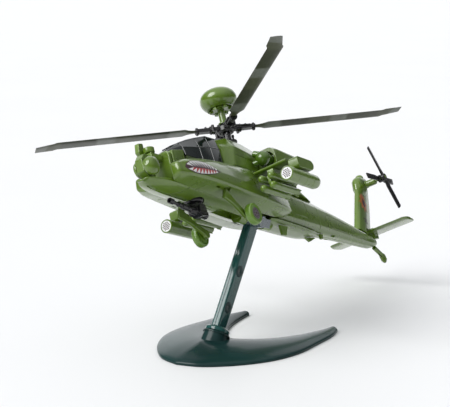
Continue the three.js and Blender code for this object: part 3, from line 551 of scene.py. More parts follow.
def stand_base():
    steps, across, rim, crown_top = 44, 20, 1.3, 6.2
    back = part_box("stand_base")[0].x / MM
    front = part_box("stand_base")[1].x / MM
    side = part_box("stand_base")[1].y / MM
    outer = curve_through([
        (back + 1.2, 26.6, 0), (-47.3, 29.2, 0), (-32.9, 30.9, 0), (-15.9, side, 0), (-2, 29.8, 0),
        (9, 24.4, 0), (17.6, 17.6, 0), (24.2, 9.6, 0), (front, 0, 0)], steps + 1)
    inner = curve_through([
        (back + 0.4, 22.4, 0), (-50.4, 21.2, 0), (-38.5, 18.2, 0), (-25.9, 12.8, 0),
        (-16.4, 6.1, 0), (-10.9, 0, 0)], steps + 1)
    rings = []
    for i in range(-steps, steps + 1):
        flip = 1 if i <= 0 else -1
        k = steps - abs(i)
        a, b = inner[k], outer[k]
        crown = rim + 0.9 + (crown_top - rim - 0.9) * (k / steps) ** 1.6
        width = (b - a).length
        heights = [(0.0, 0.0), (0.0, rim - 0.35), (0.12 / width, rim - 0.08)]
        for m in range(across + 1):
            s = 0.4 / width + (1 - 0.9 / width) * m / across
            heights.append((s, rim + (crown - rim) * math.sin(math.pi * s ** 0.85) ** 0.8))
        heights += [(1 - 0.22 / width, rim - 0.05), (1 - 0.03 / width, rim - 0.3),
                    (1.0, rim - 0.5), (1 - 0.1 / width, 0.12), (1 - 0.3 / width, 0.0)]
        rings.append([V(a.x + (b.x - a.x) * s, flip * (a.y + (b.y - a.y) * s), z)
                      for s, z in heights])
    body = loft(rings)
    collar = lathe([(0, -6), (6.1, -6), (5.9, -3.2), (5.75, -1.2), (5.55, 0.6), (5.55, 0.9), (5.95, 1.0),
                    (5.95, 1.5), (5.7, 1.8), (5.1, 1.9), (4.75, 1.7), (4.65, 1.0), (4.65, -0.6),
                    (0, -0.6)], ARM_FOOT, ARM_DIR, 72)
    table = cuboid((-40, -40, -30), (40, 40, 0.02))
    collar = boolean(collar, [table])
    well = rod(ARM_FOOT + ARM_DIR * -0.6, ARM_FOOT + ARM_DIR * 6, 4.62, 64)
    shape = boolean(boolean(body, [collar], "UNION"), [well])
    piece("stand_base_shell", shape, STAND, "stand", ["stand_base"], "stand_plastic", ROW, sharp=38)


def arm_half(side):
    depth, half = 6.7, 1.9
    length = ARM_LENGTH
    section = fillet([(-depth / 2, 0.06), (depth / 2, 0.06), (depth / 2, half), (-depth / 2, half)],
                     [0.05, 0.05, 0.85, 0.85], 5)
    bar = loft([[V(p.x, p.y, z) for p in section]
                for z in (0.0, 2.5, length * 0.5, length - 3.4)])
    foot = lathe([(0, -0.3), (4.2, -0.3), (4.3, 2.2), (5.3, 2.2), (5.35, 3.3), (5.1, 3.6), (4.3, 4.2),
                  (0, 4.2)], (0, 0, 0), (0, 0, 1), 56)
    foot = boolean(foot, [cuboid((-9, -9, -3), (9, 0.06, 9))])
    eye = lathe([(0, 0.06), (4.3, 0.06), (4.3, half - 0.35), (3.95, half), (0, half)],
                (0, 0, length), (0, 1, 0), 56)
    shape = boolean(bar, [foot, eye], "UNION")
    shape = boolean(shape, [rod((0, -1, length), (0, 4, length), 2.68, 48)])
    if side < 0:
        shape = starboard(shape)
    name = "left" if side > 0 else "right"
    piece(f"arm_shell_{name}", shape, ARM, "stand", [f"stand_arm_{name}"], "stand_plastic",
          ARM_PLACE)
    for k, share in enumerate((0.25, 0.56)):
        spot = lathe([(0, half - 0.05), (2.5, half - 0.05), (2.5, half + 0.12), (2.2, half + 0.22),
                      (0.7, half + 0.2), (0.5, half + 0.08), (0, half + 0.06)],
                     (0.3, 0, length * share), (0, 1, 0), 40)
        if side < 0:
            spot = starboard(spot)
        piece(f"arm_plug_{name}_{k + 1}", spot, STAND, "stand", (), "stand_plastic", ARM_PLACE)


def knuckle():
    body = boolean(cuboid((-7, -5, -1.9), (7, 5, 1.9)), [cuboid((-5.4, -2.6, -4), (5.4, 2.6, 4))])
    barrel = rod((0, -5.6, 0), (0, 5.6, 0), 2.6, 56)
    pins = [rod((-11, 0, 0), (-6.5, 0, 0), 1.5, 40), rod((6.5, 0, 0), (11, 0, 0), 1.5, 40)]
    shape = boolean(body, [barrel, *pins], "UNION")
    piece("knuckle_gimbal", shape, SMOKE, "knuckle", ["stand_knuckle"], "knuckle_plastic", GIMBAL,
          bevel=0.35)


# ---- fuselage ----------------------------------------------------------------------------
# Each cheek station: x, shelf y z, crease y z, lower edge y z, underside z at the keel.
CHEEK = [
    (61.9, 9.0, -31.9, 11.2, -34.0, 11.5, -37.3, -38.95),
    (58, 9.3, -30.0, 12.5, -33.7, 12.9, -37.5, -39.6),
    (52, 9.3, -28.4, 13.2, -33.6, 13.7, -37.7, -40.0),
    (42, 9.3, -26.4, 13.9, -33.7, 14.5, -38.2, -40.65),
    (28, 9.3, -25.0, 14.3, -34.2, 14.9, -39.2, -41.6),
    (10, 9.6, -24.2, 14.4, -35.6, 15.0, -40.5, -42.8),
    (-2, 10.2, -25.0, 14.2, -36.6, 14.8, -41.3, -43.0),
    (-11, 10.4, -29.6, 13.4, -37.4, 14.0, -41.6, -42.9),
    (-18.5, 9.9, -33.6, 12.2, -38.1, 12.6, -41.5, -42.2),
    (-20.8, 9.4, -35.0, 11.1, -38.3, 11.4, -40.9, -41.7),
]
SEAM = 6.6            # where the cheek's underside meets the keel


def cheek_skin():
    rings = []
    for x, sy, sz, cy, cz, ly, lz, uz in between(CHEEK, 1.2):
        soft = max(0.0, min(1.0, (x - 34) / 14))
        flank = V((sy + cy) / 2 + 0.75, (sz + cz) / 2 + 0.75)
        outline = fillet(
            [(SEAM, sz), (sy, sz), flank, (cy, cz), (ly, lz), (SEAM, uz)],
            [0.15, 2.6, 3.5, 0.3 + 3.0 * soft, 1.5, 0.1], 6)
        rings.append([V(x, p.x, p.y) for p in outline])
    front = domed(rings[0], (1, 0, 0), 1.7, 0.42, 7)
    rear = domed(rings[-1], (-1, 0, 0), 1.0, 0.4, 6)
    return loft(list(reversed(front)) + rings + rear)


def draped(skin, points, direction, step=0.8, lift=0.0):
    """Points along a line, dropped onto a skin against a direction."""
    tree = BVHTree.FromBMesh(skin)
    points = [Vector(p) for p in points]
    direction = Vector(direction).normalized()
    out = []
    for a, b in zip(points, points[1:]):
        count = max(1, round((b - a).length / step))
        out += [a.lerp(b, k / count) for k in range(count)]
    out.append(points[-1])
    landed = []
    for point in out:
        hit, normal, *_ = tree.ray_cast(point - direction * 40, direction, 90)
        if hit:
            landed.append(hit + normal * lift)
    return landed


def grooves(skin, lines, direction, radius=0.22):
    """Cuts panel lines into a skin, one straight run at a time."""
    cuts = [tube(draped(skin, run, direction), radius, 8)
            for line in lines for run in zip(line, line[1:])]
    return boolean(skin, cuts)


def decal(skin, outline, direction, lift=0.05, thick=0.04, plane="xz"):
    """A printed film shaped like an outline, lying on a skin."""
    film = bmesh.new()
    place = {"xz": lambda a, b: V(a, 0, b), "xy": lambda a, b: V(a, b, 0)}[plane]
    film.faces.new([film.verts.new(place(a, b)) for a, b in outline])
    for axis, step in ((V(1, 0, 0), 0.9), (V(0, 0, 1), 0.6)):
        reach = [vert.co.dot(axis) for vert in film.verts]
        for k in range(math.ceil(min(reach) / step), math.ceil(max(reach) / step)):
            bmesh.ops.bisect_plane(film, geom=film.verts[:] + film.edges[:] + film.faces[:],
                                   plane_co=axis * k * step, plane_no=axis)
    tree = BVHTree.FromBMesh(skin)
    direction = Vector(direction)
    for vert in film.verts:
        hit, normal, *_ = tree.ray_cast(vert.co - direction * 40, direction, 90)
        if hit:
            vert.co = hit + normal * lift
    bmesh.ops.solidify(film, geom=film.faces[:], thickness=thick)
    bmesh.ops.recalc_face_normals(film, faces=film.faces)
    return film


def cheek():
    skin = cheek_skin()
    side = (0, -1, 0)
    skin = grooves(skin, [
        [(-18.2, 0, -35.2), (-18.2, 0, -40.6)],
        [(7.1, 0, -29.4), (12.5, 0, -32.2), (19.5, 0, -34.4)],
    ], side, 0.18)
    skin = grooves(skin, [[(51.7, 6.9, -50), (51.5, 8.4, -50), (50.9, 10.0, -50)]], (0, 0, 1), 0.26)
    slot = fillet([(36.6, 11.0), (36.6, 12.0), (39.2, 12.0), (39.2, 11.0)], 0.45, 4)
    notch = fillet([(29.8, 11.2), (31.6, 13.6), (34.4, 12.4), (33.2, 10.4)], 0.3, 3)
    return boolean(skin, [prism(slot, -41.5, -38.0, "xy"), prism(notch, -42.5, -39.0, "xy")])


# Each keel station: x, half width, top, edge, bottom.
KEEL = [
    (73.4, 3.0, -38.1, -38.4, -38.9), (71.2, 4.2, -38.1, -38.8, -40.0),
    (65, 5.9, -38.1, -39.1, -41.3), (57.6, SEAM, -38.1, -39.65, -41.9),
    (50, SEAM, -37.3, -40.15, -42.2), (31, SEAM, -37.3, -41.4, -43.4),
    (12, SEAM, -37.3, -42.7, -44.6), (3.4, SEAM, -37.3, -42.95, -44.8),
]


def keel():
    rings = []
    for x, w, top, edge, bottom in between(KEEL, 1.5):
        fall = edge - bottom
        half = [(0, top), (w - 0.06, top), (w - 0.06, edge), (w * 0.6, bottom + fall * 0.46),
                (w * 0.25, bottom + fall * 0.12), (0, bottom)]
        outline = fillet(mirrored_half(half), [0.1, 0.1, 0.05] + [1.2] * 5 + [0.05, 0.1], 3)
        rings.append([V(x, p.x, p.y) for p in outline])
    front = domed(rings[0], (1, 0, 0), 1.4, 0.5, 6)
    shape = loft(list(reversed(front)) + rings)
    pin = in_heli(KNUCKLE)
    boss = rod((3.4, 0, pin.z), (9, 0, pin.z), 2.7, 40)
    shape = boolean(shape, [boss], "UNION")
    gun = heli_joint("gun_swivel")
    below = (0, 0, 1)
    belly_line = draped(shape, [(71, -0.6, -50), (45.6, -0.6, -50)], below)
    seam = draped(shape, [(57.6, 0.2, -50), (55.7, 1.9, -50), (53.9, 3.4, -50), (52.4, 5.2, -50),
                          (51.7, 6.4, -50)], below, 0.6)
    tools = [
        rod((2, 0, pin.z), (7.4, 0, pin.z), 1.57, 32),
        rod((gun.x, 0, -39.9), (gun.x, 0, -50), 4.4, 48),
        cuboid((9.6, -2.4, -50), (25.6, 2.4, -41.4)),
        tube(belly_line, 0.5, 8),
        rod((70.6, -0.5, -39.8), (65.8, -0.6, -41.4), 0.85, 16),
        tube(seam, 0.26, 8),
    ]
    shape = boolean(shape, tools)
    piece("keel_shell", shape, GREEN, "helicopter", ["keel"], sharp=36)


def along(line, t):
    """A point part of the way along a row of points."""
    line = [Vector(p) for p in line]
    spans = [(b - a).length for a, b in zip(line, line[1:])]
    want = t * sum(spans)
    for a, b, span in zip(line, line[1:], spans):
        if want <= span:
            return a.lerp(b, want / span)
        want -= span
    return line[-1]


MOUTH_TOP = [(60.4, -34.9), (59.4, -33.2), (56.4, -31.5), (51.8, -30.6), (46.9, -30.5),
             (42.2, -31.7), (37.7, -33.9)]
MOUTH_LOW = [(60.4, -34.9), (59.2, -36.1), (56.2, -37.0), (52.6, -37.3), (47.6, -36.8),
             (42.4, -35.6), (37.7, -33.9)]
MOUTH_MIDDLE = [(58.6, -34.8), (49, -33.9), (39.4, -33.8)]


def mouth():
    """Printed jaws on the cheek: dark surround, red inside and two rows of plain teeth."""
    skin = cheek_skin()
    side = (0, -1, 0)
    surround = decal(skin, MOUTH_TOP + list(reversed(MOUTH_LOW[1:-1])), side, 0.05)
    spots = (0.12, 0.3, 0.5, 0.7, 0.9)
    inset = [along(MOUTH_MIDDLE, t).lerp(along(MOUTH_LOW, t), 0.12) for t in spots]
    floor = [along(MOUTH_LOW, t).lerp(along(MOUTH_MIDDLE, t), 0.14) for t in reversed(spots)]
    tongue = decal(skin, inset + floor, side, 0.10)
    teeth = []
    for edge, count, reach in ((MOUTH_TOP, 10, 0.74), (MOUTH_LOW, 9, 0.66)):
        for i in range(count):
            low, high = 0.06 + 0.86 * i / count, 0.06 + 0.86 * (i + 0.86) / count
            a = along(edge, low).lerp(along(MOUTH_MIDDLE, low), 0.1)
            b = along(edge, high).lerp(along(MOUTH_MIDDLE, high), 0.1)
            lean = min(1, (low + high) / 2 + 0.05)
            tip = along(edge, lean).lerp(along(MOUTH_MIDDLE, lean), reach + 0.2)
            teeth.append(decal(skin, [a, b, tip], side, 0.15))
    skin.free()
    return surround, tongue, merged(*teeth)


def rear_belly():
    stations = [(-11.4, 5.6, -42.9, -44.2), (-16, 6.2, -42.9, -44.3), (-34, 6.0, -43.2, -44.5),
                (-46, 5.4, -43.3, -44.6), (-54, 4.2, -43.0, -44.2), (-59, 2.4, -42.7, -43.6)]
    rings = []
    for x, w, top, bottom in between(stations, 2):
        half = [(0, top), (w, top), (w, top - 0.4), (w * 0.82, bottom + 0.35), (w * 0.4, bottom),
                (0, bottom)]
        rings.append([V(x, p.x, p.y) for p in fillet(mirrored_half(half), 0.5, 3)])
    shape = loft(rings + domed(rings[-1], (-1, 0, 0), 1.2, 0.5, 5))
    pin = in_heli(KNUCKLE)
    boss = rod((-17, 0, pin.z), (-11.4, 0, pin.z), 2.7, 40)
    shape = boolean(shape, [boss], "UNION")
    shape = boolean(shape, [rod((-15.4, 0, pin.z), (-10, 0, pin.z), 1.57, 32)])
    piece("rear_belly_shell", shape, GREEN, "helicopter", ["rear_belly"], sharp=36)


BOOM = [
    (-13.8, 6.5, -24.3, -39.8), (-19, 6.5, -24.3, -40.2), (-20, 6.5, -24.3, -42.5),
    (-38, 6.4, -25, -42.6), (-62, 5.4, -26.8, -42.0), (-84, 4.3, -29.2, -41.4),
    (-104, 3.5, -32.0, -41.1), (-118, 3.0, -34.2, -40.7), (-122.6, 2.6, -35.1, -39.6),
]


def boom_top(x):
    return eased([s[0] for s in BOOM], [s[2] for s in BOOM], x)


def boom_half():
    rings = []
    for x, w, top, bottom in between(BOOM, 2.2):
        h = top - bottom
        outline = fillet([
            (0.05, top), (w * 0.42, top - h * 0.01), (w * 0.90, top - h * 0.24), (w, top - h * 0.6),
            (w * 0.9, top - h * 0.88), (w * 0.55, bottom), (0.05, bottom)],
            [0.1, 0.7, 0.9, 2.2, 1.2, 1.2, 0.1], 4)
        rings.append([V(x, p.x, p.y) for p in outline])
    shape = loft(rings)
    panel = [(-66.6, 0, -34.6), (-68.2, 0, -37.6), (-71, 0, -38.4), (-108, 0, -38.6),
             (-111, 0, -38.2), (-112, 0, -36.6), (-109, 0, -35.4), (-68.4, 0, -32.4),
             (-66.8, 0, -33.2), (-66.6, 0, -34.6)]
    hatch = [(-34, 0, -28.8), (-46, 0, -30.0), (-46.6, 0, -37.8), (-34.6, 0, -37.8),
             (-34, 0, -28.8)]
    shape = grooves(shape, [panel, hatch, [(-58, 0, -27.6), (-58.6, 0, -41.2)]], (0, -1, 0), 0.2)
    slot = fillet([(-72.4, 1.6), (-76.2, 1.6), (-76.2, 2.9), (-72.4, 2.9)], 0.4, 3)
    return boolean(shape, [prism(slot, -43.5, -40.9, "xy")])


def rear_deck():
    stations = [(-15.4, 7.0, -10.4, -24.0), (-30, 6.4, -15.4, -24.1), (-44, 5.2, -21.4, -24.9),
                (-56, 3.4, -25.0, -25.9), (-60, 2.4, -25.9, -26.3)]
    rings = []
    for x, w, top, bottom in between(stations, 2):
        h = top - bottom
        half = [(0, top), (w * 0.5, top - h * 0.03), (w * 0.92, top - h * 0.3), (w, top - h * 0.7),
                (w, bottom), (0, bottom)]
        rings.append([V(x, p.x, p.y) for p in fillet(mirrored_half(half), [0.3] + [0.9] * 9, 4)])
    piece("rear_deck_cover", loft(rings), GREEN, "helicopter", ["rear_deck"], bevel=0.25)


def upper_deck():
    """Half of the engine deck: a slanting front corner ahead of flat sides and a pitched roof."""
    floor = -23.7
    stations = [
        (18.4, 18.4, 18.4, 5.6, -14.4, 3.7, -11.0, -10.4),
        (15.4, 16.2, 17.6, 5.9, -14.5, 3.9, -10.2, -9.6),
        (12.6, 13.9, 16.2, 6.9, -14.4, 4.2, -9.3, -8.6),
        (11.0, 12.3, 15.0, 7.9, -14.2, 4.4, -8.8, -8.0),
        (10.3, 11.4, 14.4, 8.3, -14.2, 4.5, -8.6, -7.7),
        (9.6, 10.6, 13.2, 8.4, -14.2, 4.5, -8.55, -7.7),
        (-2, -2, -2, 8.3, -15.4, 4.5, -8.9, -8.0),
        (-15, -15, -15, 7.4, -16.6, 4.4, -10.9, -10.0),
    ]
    rings = []
    for top_x, side_x, floor_x, w, side, edge, eave, ridge in stations:
        corners = [(top_x, 0.04, ridge), (top_x, edge, eave), (side_x, w, side),
                   (floor_x, w + 0.15, floor), (floor_x, 0.04, floor)]
        rings.append(fillet([V(*c) for c in corners], [0.04, 0.5, 0.45, 0.1, 0.04], 4))
    shape = loft(rings)
    shape = boolean(shape, [rod((0, 0, -30), (0, 0, 0), 2.05, 40)])
    return grooves(shape, [[(12.6, 0, -18.3), (-14.6, 0, -19.2)],
                           [(4.2, 0, -15.6), (3.9, 0, -23.2)]], (0, -1, 0), 0.16)


CANOPY_SILL = -24.95
CANOPY_RINGS = [
    (56.6, 3.6, -23.8, 3.4, -23.6, 3.0, -23.4, -23.3), (48.9, 5.2, -22.2, 5.0, -20.6, 4.0, -18.9, -18.7),
    (48.4, 6.2, CANOPY_SILL, 5.4, -21.0, 4.0, -18.7, -18.5),
    (43, 6.3, CANOPY_SILL, 5.7, -20.0, 4.2, -16.5, -16.2),
    (36, 6.4, CANOPY_SILL, 5.9, -18.8, 4.3, -14.1, -13.7),
    (27, 6.4, CANOPY_SILL, 5.8, -17.0, 4.2, -11.3, -10.9),
    (18.8, 5.8, CANOPY_SILL, 5.2, -15.8, 3.9, -10.8, -10.5),
]


def canopy():
    rings = []
    for x, sill, low, shoulder, mid, edge, roof, ridge in CANOPY_RINGS:
        half = [(0, ridge), (edge, roof), (shoulder, mid), (sill, low), (0, low)]
        rings.append([V(x, y, z) for y, z in mirrored_half(half)])
    glass = loft(rings)
    piece("canopy_glass", glass, CANOPY, "helicopter", ["canopy"], "canopy_plastic", bevel=0.22,
          sharp=12)
    for side in (1, -1):
        edge = [V(r[0], side * r[5], r[6]) for r in CANOPY_RINGS[1:]]
        waist = [V(r[0], side * r[3], r[4]) for r in CANOPY_RINGS[2:]]
        bars = [tube(edge, 0.24, 8), tube(waist, 0.2, 8)]
        for r in (CANOPY_RINGS[2], CANOPY_RINGS[4], CANOPY_RINGS[5]):
            bars.append(tube([V(r[0], side * r[1], r[2]), V(r[0], side * r[3], r[4]),
                              V(r[0], side * r[5], r[6]), V(r[0], 0, r[7])], 0.24, 8))
        name = "left" if side > 0 else "right"
        piece(f"canopy_bars_{name}", merged(*bars), CANOPY, "helicopter", (), "canopy_plastic")


def nose():
    block = prism([(51, -37), (58, -37), (58, -24.5), (49.3, -22.7), (49.3, -26)], -6, 6)
    block = boolean(block, [prism([(60, -24.2), (48, -22.5), (48, -18), (60, -18)], -7, 7)])
    rib = prism(fillet([(-6.1, -37), (6.1, -37), (6.1, -24.3), (-6.1, -24.3)], 0.8, 4),
                55.6, 56.5, "yz")
    piece("nose_block_shell", merged(block, rib), GREEN, "helicopter", ["nose_block"], bevel=0.3)
    plate = prism(fillet([(-5.6, -37.4), (5.6, -37.4), (5.6, -24.8), (-5.6, -24.8)], 1.9, 8),
                  58.3, 60.3, "yz")
    piece("nose_plate_panel", plate, GREEN, "helicopter", ["nose_plate"], bevel=0.45)


# ---- nose sensors ------------------------------------------------------------------------
SENSOR_HALF = 1.8


def sensors():
    neck = cuboid((60.6, -2.6, -28.5), (68, 2.6, -26.1))
    body = prism([(67, -36.6), (71.5, -37.4), (74.4, -35), (74.4, -30), (72.4, -27.6), (67, -27.2)],
                 -SENSOR_HALF, SENSOR_HALF)
    post = rod((69.5, 0, -37.8), (69.5, 0, -35), 1.9, 32)
    piece("sensor_housing", merged(neck, body, post), GREEN, "helicopter", ["sensor_block"],
          bevel=0.3)
    ball = [(0, 0), (2.9, 0), (3.2, 0.25), (3.6, 0.95), (3.8, 1.9), (3.78, 2.4), (3.5, 3.2),
            (2.9, 3.9), (2.0, 4.35), (1.0, 4.5), (0, 4.55)]
    port = lathe(ball, (72, SENSOR_HALF + 0.25, -33.4), (0, 1, 0), 64)
    window = lathe([(0, -0.3), (1.5, -0.3), (1.5, 0.2), (1.2, 0.3), (0, 0.3)],
                   (75.3, SENSOR_HALF + 2.2, -32.7), (1, 0.1, 0.25), 32)
    piece("sensor_ball_port", merged(port, window), GREEN, "helicopter", ["sensor_drum_left"])
    drum = [(0, 0), (3.5, 0), (3.6, 0.2), (3.6, 0.8), (3.3, 1.3), (2.7, 1.6), (0, 1.7)]
    piece("sensor_drum_starboard", lathe(drum, (70.7, -SENSOR_HALF - 0.25, -32.8), (0, -1, 0), 56),
          GREEN, "helicopter", ["sensor_drum_right"])
    drum_top = lathe([(0, 0.9), (2.2, 0.9), (2.3, 1.2), (2.3, 3.0), (2.1, 3.3), (1.7, 3.4), (0, 3.4)],
                     (66.6, 0.8, -26.9), (0, 0, 1), 40)
    camera_box = prism([(66.0, -26.0), (69.3, -26.4), (70.4, -25.2), (69.6, -21.2), (66.6, -20.6)],
                       -3.4, -1.3)
    piece("night_camera", merged(drum_top, camera_box), GREEN, "helicopter", ["night_sight"],
          bevel=0.28)


# ---- stores ------------------------------------------------------------------------------
POD = V(15.4, 31.8, -37.0)
POD_R = 3.1
POD_LENGTH = 25


def rocket_pod():
    profile = [(0, 0.25), (2.55, 0.25), (2.6, 0), (POD_R - 0.25, 0), (POD_R, 0.3)]
    for ring in (6.5, 12.5, 18.5):
        profile += [(POD_R, ring), (POD_R - 0.1, ring + 0.12), (POD_R, ring + 0.24)]
    profile += [(POD_R, POD_LENGTH - 2.2), (POD_R * 0.9, POD_LENGTH - 0.9),
                (POD_R * 0.72, POD_LENGTH - 0.1), (POD_R * 0.66, POD_LENGTH),
                (0, POD_LENGTH)]
    return lathe(profile, POD, (-1, 0, 0), 56)


def rocket_face():
    """Printed white disc with a honeycomb of tube mouths."""
    disc = lathe([(0, -0.06), (2.5, -0.06), (2.52, 0.1), (0, 0.1)], POD + V(-0.22, 0, 0), (-1, 0, 0), 48)
    holes = []
    for q in range(-2, 3):
        for r in range(-2, 3):
            if abs(q + r) > 2:
                continue
            y, z = 0.86 * (q + r / 2), 0.86 * r * math.sqrt(3) / 2
            holes.append(lathe([(0, -0.1), (0.3, -0.1), (0.3, 0.1), (0, 0.1)],
                               POD + V(-0.2, y, z), (-1, 0, 0), 16))
    return disc, merged(*holes)


MISSILE_Y = 21
MISSILE_ROWS = [(y, z) for y in (MISSILE_Y - 2.6, MISSILE_Y + 2.2) for z in (-34.1, -38.4)]


def missile_rack():
    parts = [prism(fillet([(11, -32.9), (11, -36.6), (-6, -36.6), (-8, -32.9)], 0.6, 3),
                   MISSILE_Y - 0.7, MISSILE_Y + 0.7),
             cuboid((0, MISSILE_Y - 1.6, -37.6), (4, MISSILE_Y + 1.6, -35.0))]
    for y, z in MISSILE_ROWS:
        nose = [(1.6 * math.sin(a), 1.7 * (1 - math.cos(a)))
                for a in (0.5 * math.pi * k / 7 for k in range(8))]
        body = [*nose, (1.6, 5.6), (1.52, 5.7), (1.6, 5.85), (1.6, 21.6), (1.35, 22), (0, 22)]
        parts.append(lathe(body, (14.4, y, z), (-1, 0, 0), 28))
        for turn in range(4):
            fin = prism([(-3.6, 1.2), (-4.6, 2.05), (-7.3, 2.1), (-7.4, 1.2)], -0.2, 0.2)
            spin = Matrix.Rotation(turn * math.pi / 2, 4, "X")
            bmesh.ops.transform(fin, matrix=Matrix.Translation((0, y, z)) @ spin, verts=fin.verts)
            parts.append(fin)
    return merged(*parts)


def wing():
    section = fillet([(8.4, -28.4), (7.4, -27.5), (3, -27.2), (-6, -27.8), (-6, -28.4), (3, -29.3),
                      (7.4, -29.2)], [0.8, 0.8, 2, 0.2, 0.2, 2, 0.8], 4)
    return prism(section, 12.9, 29.1)


def outer_pylon():
    outline = fillet([(7.2, -29.2), (6.4, -28.3), (-5.4, -28.3), (-7, -30), (-6.2, -32), (-4.4, -33.2),
                      (6, -33.5), (7.2, -32.6)], [0.4, 0.4, 1.5, 1.2, 1.2, 1.5, 0.5, 0.5], 5)
    return prism(outline, 29.4, 34.3)


def inner_pylon():
    outline = fillet([(8.4, -29.6), (8.4, -31.4), (7, -32.6), (-6, -32.6), (-7, -29.6)], 0.4, 3)
    return prism(outline, MISSILE_Y - 1.5, MISSILE_Y + 1.5)


# ---- engines -----------------------------------------------------------------------------
ENGINE = V(-2.9, 13.2, -19.2)


def nacelle():
    def ring(x, w, up, down, chamfer):
        low, high = ENGINE.z - down, ENGINE.z + up
        outline = fillet([
            (ENGINE.y - w, high), (ENGINE.y + w * 0.5, high), (ENGINE.y + w, high - chamfer),
            (ENGINE.y + w, low + chamfer), (ENGINE.y + w * 0.5, low), (ENGINE.y - w, low)],
            [0.5, 0.9, 0.9, 0.9, 0.9, 0.5], 4)
        return [V(x, p.x, p.y) for p in outline]
    shape = loft([ring(ENGINE.x - 3.4, 4.6, 5.2, 4.6, 2), ring(ENGINE.x - 6, 5.2, 5.6, 5.2, 2.2),
                  ring(-24, 5.0, 5.2, 5.4, 2.2), ring(-36, 3.8, 3.8, 4.4, 1.8)])
    bell = lathe([(0, 0), (4.0, 0), (3.7, 4.5), (3.5, 9), (0, 9)], (-0.9, ENGINE.y, ENGINE.z),
                 (-1, 0, 0), 40)
    exhaust = rod((-30, ENGINE.y + 0.4, ENGINE.z - 0.2), (-40, ENGINE.y + 0.6, ENGINE.z - 0.2), 2.7, 32)
    return boolean(shape, [bell, exhaust])


def gearbox():
    ball = lathe([(3.4 * math.sin(a), -3.4 * math.cos(a))
                  for a in (math.pi * k / 20 for k in range(21))], ENGINE, (1, 0, 0), 40)
    tail = rod(ENGINE, (-9.2, ENGINE.y, ENGINE.z), 2.4, 32)
    collar = lathe([(0, 0), (2.7, 0), (2.8, 0.3), (2.8, 0.9), (2.5, 1.2), (0, 1.2)],
                   ENGINE + V(-3.6, 0, 0), (-1, 0, 0), 32)
    knob = lathe([(0, 0), (1.5, 0), (1.5, 3.9), (1.3, 4.2), (0.75, 4.2), (0.65, 3.8), (0, 3.8)],
                 ENGINE + V(0.3, 0, 1.6), (0.1, -0.93, 0.45), 32)
    stub = lathe([(0, 0), (1.2, 0), (1.2, 4.2), (0, 4.2)], ENGINE + V(0.8, 0, -1),
                 (0.25, -1, -0.1), 28)
    return merged(ball, tail, collar, knob, stub)


# ---- undercarriage -----------------------------------------------------------------------
WHEEL = heli_joint("wheel_left_spin")
WHEEL_W = 3.4
LEG_TOP = V(33.4, 11.6, -42.25)


def leg():
    knee = V(WHEEL.x, WHEEL.y - WHEEL_W / 2 - 1.6, WHEEL.z)
    along = (knee - LEG_TOP).normalized()
    out = (V(0, 1, 0) - along * along.y).normalized()
    wide = along.cross(out).normalized()
    rings = []
    for t, half in ((-0.1, 2.6), (0, 2.4), (0.12, 2.0), (0.35, 1.35), (0.7, 1.3), (1, 1.5)):
        at = LEG_TOP.lerp(knee, t)
        outline = fillet([(half, 0.8), (-half, 0.8), (-half, -0.8), (half, -0.8)], 0.5, 4)
        rings.append([at + wide * p.x + out * p.y for p in outline])
    fairing = lathe([(0, -0.8), (1.7, -0.8), (1.9, -0.5), (1.9, 0.5), (1.7, 0.8), (0, 0.8)],
                    knee, (0, 1, 0), 36)
    axle = rod(knee, (WHEEL.x, WHEEL.y + WHEEL_W / 2 - 0.6, WHEEL.z), 0.9, 28)
    return merged(loft(rings), fairing, axle)


def wheel_shape():
    """Tyre with a ribbed tread, moulded in one with its hub."""
    sides, ribs = 216, 36
    profile = [(0.97, -1.7), (2.5, -1.7), (2.9, -1.45), (3.2, -1.5), (4.0, -1.62), (4.45, -1.35),
               (4.66, -0.9), (4.7, 0.0), (4.66, 0.9), (4.45, 1.35), (4.0, 1.62), (3.2, 1.5),
               (2.9, 1.35), (2.7, 1.42), (0, 1.42)]
    rings = []
    for radius, along in profile:
        tread = max(0.0, 1 - (abs(along) / 1.62) ** 4) if radius > 4.2 else 0.0
        ring = []
        for i in range(sides):
            a = TAU * i / sides
            r = max(radius, 0.02) - 0.11 * tread * (0.5 + 0.5 * math.cos(ribs * a)) ** 2
            ring.append(V(WHEEL.x + r * math.cos(a), WHEEL.y + along, WHEEL.z + r * math.sin(a)))
        rings.append(ring)
    inner = [[V(WHEEL.x + 0.97 * math.cos(TAU * i / sides), WHEEL.y + along,
                WHEEL.z + 0.97 * math.sin(TAU * i / sides)) for i in range(sides)]
             for along in (1.2, -1.7)]
    return loft([*inner, *rings[1:]])


def hub_print():
    disc = lathe([(0, 0), (2.55, 0), (2.6, 0.08), (0, 0.1)], WHEEL + V(0, 1.42, 0), (0, 1, 0), 48)
    spokes = []
    for i in range(8):
        a = TAU * i / 8
        centre = WHEEL + V(1.45 * math.cos(a), 1.5, 1.45 * math.sin(a))
        spokes.append(lathe([(0, 0), (0.36, 0), (0.36, 0.06), (0, 0.07)], centre, (0, 1, 0), 14))
    ring = lathe([(2.05, 0), (2.25, 0), (2.25, 0.07), (2.05, 0.07), (2.05, 0)],
                 WHEEL + V(0, 1.5, 0), (0, 1, 0), 48)
    cap = lathe([(0, 0), (0.6, 0), (0.55, 0.12), (0, 0.14)], WHEEL + V(0, 1.5, 0), (0, 1, 0), 20)
    return disc, merged(*spokes, ring, cap)


# ---- gun ---------------------------------------------------------------------------------
GUN = heli_joint("gun_swivel")


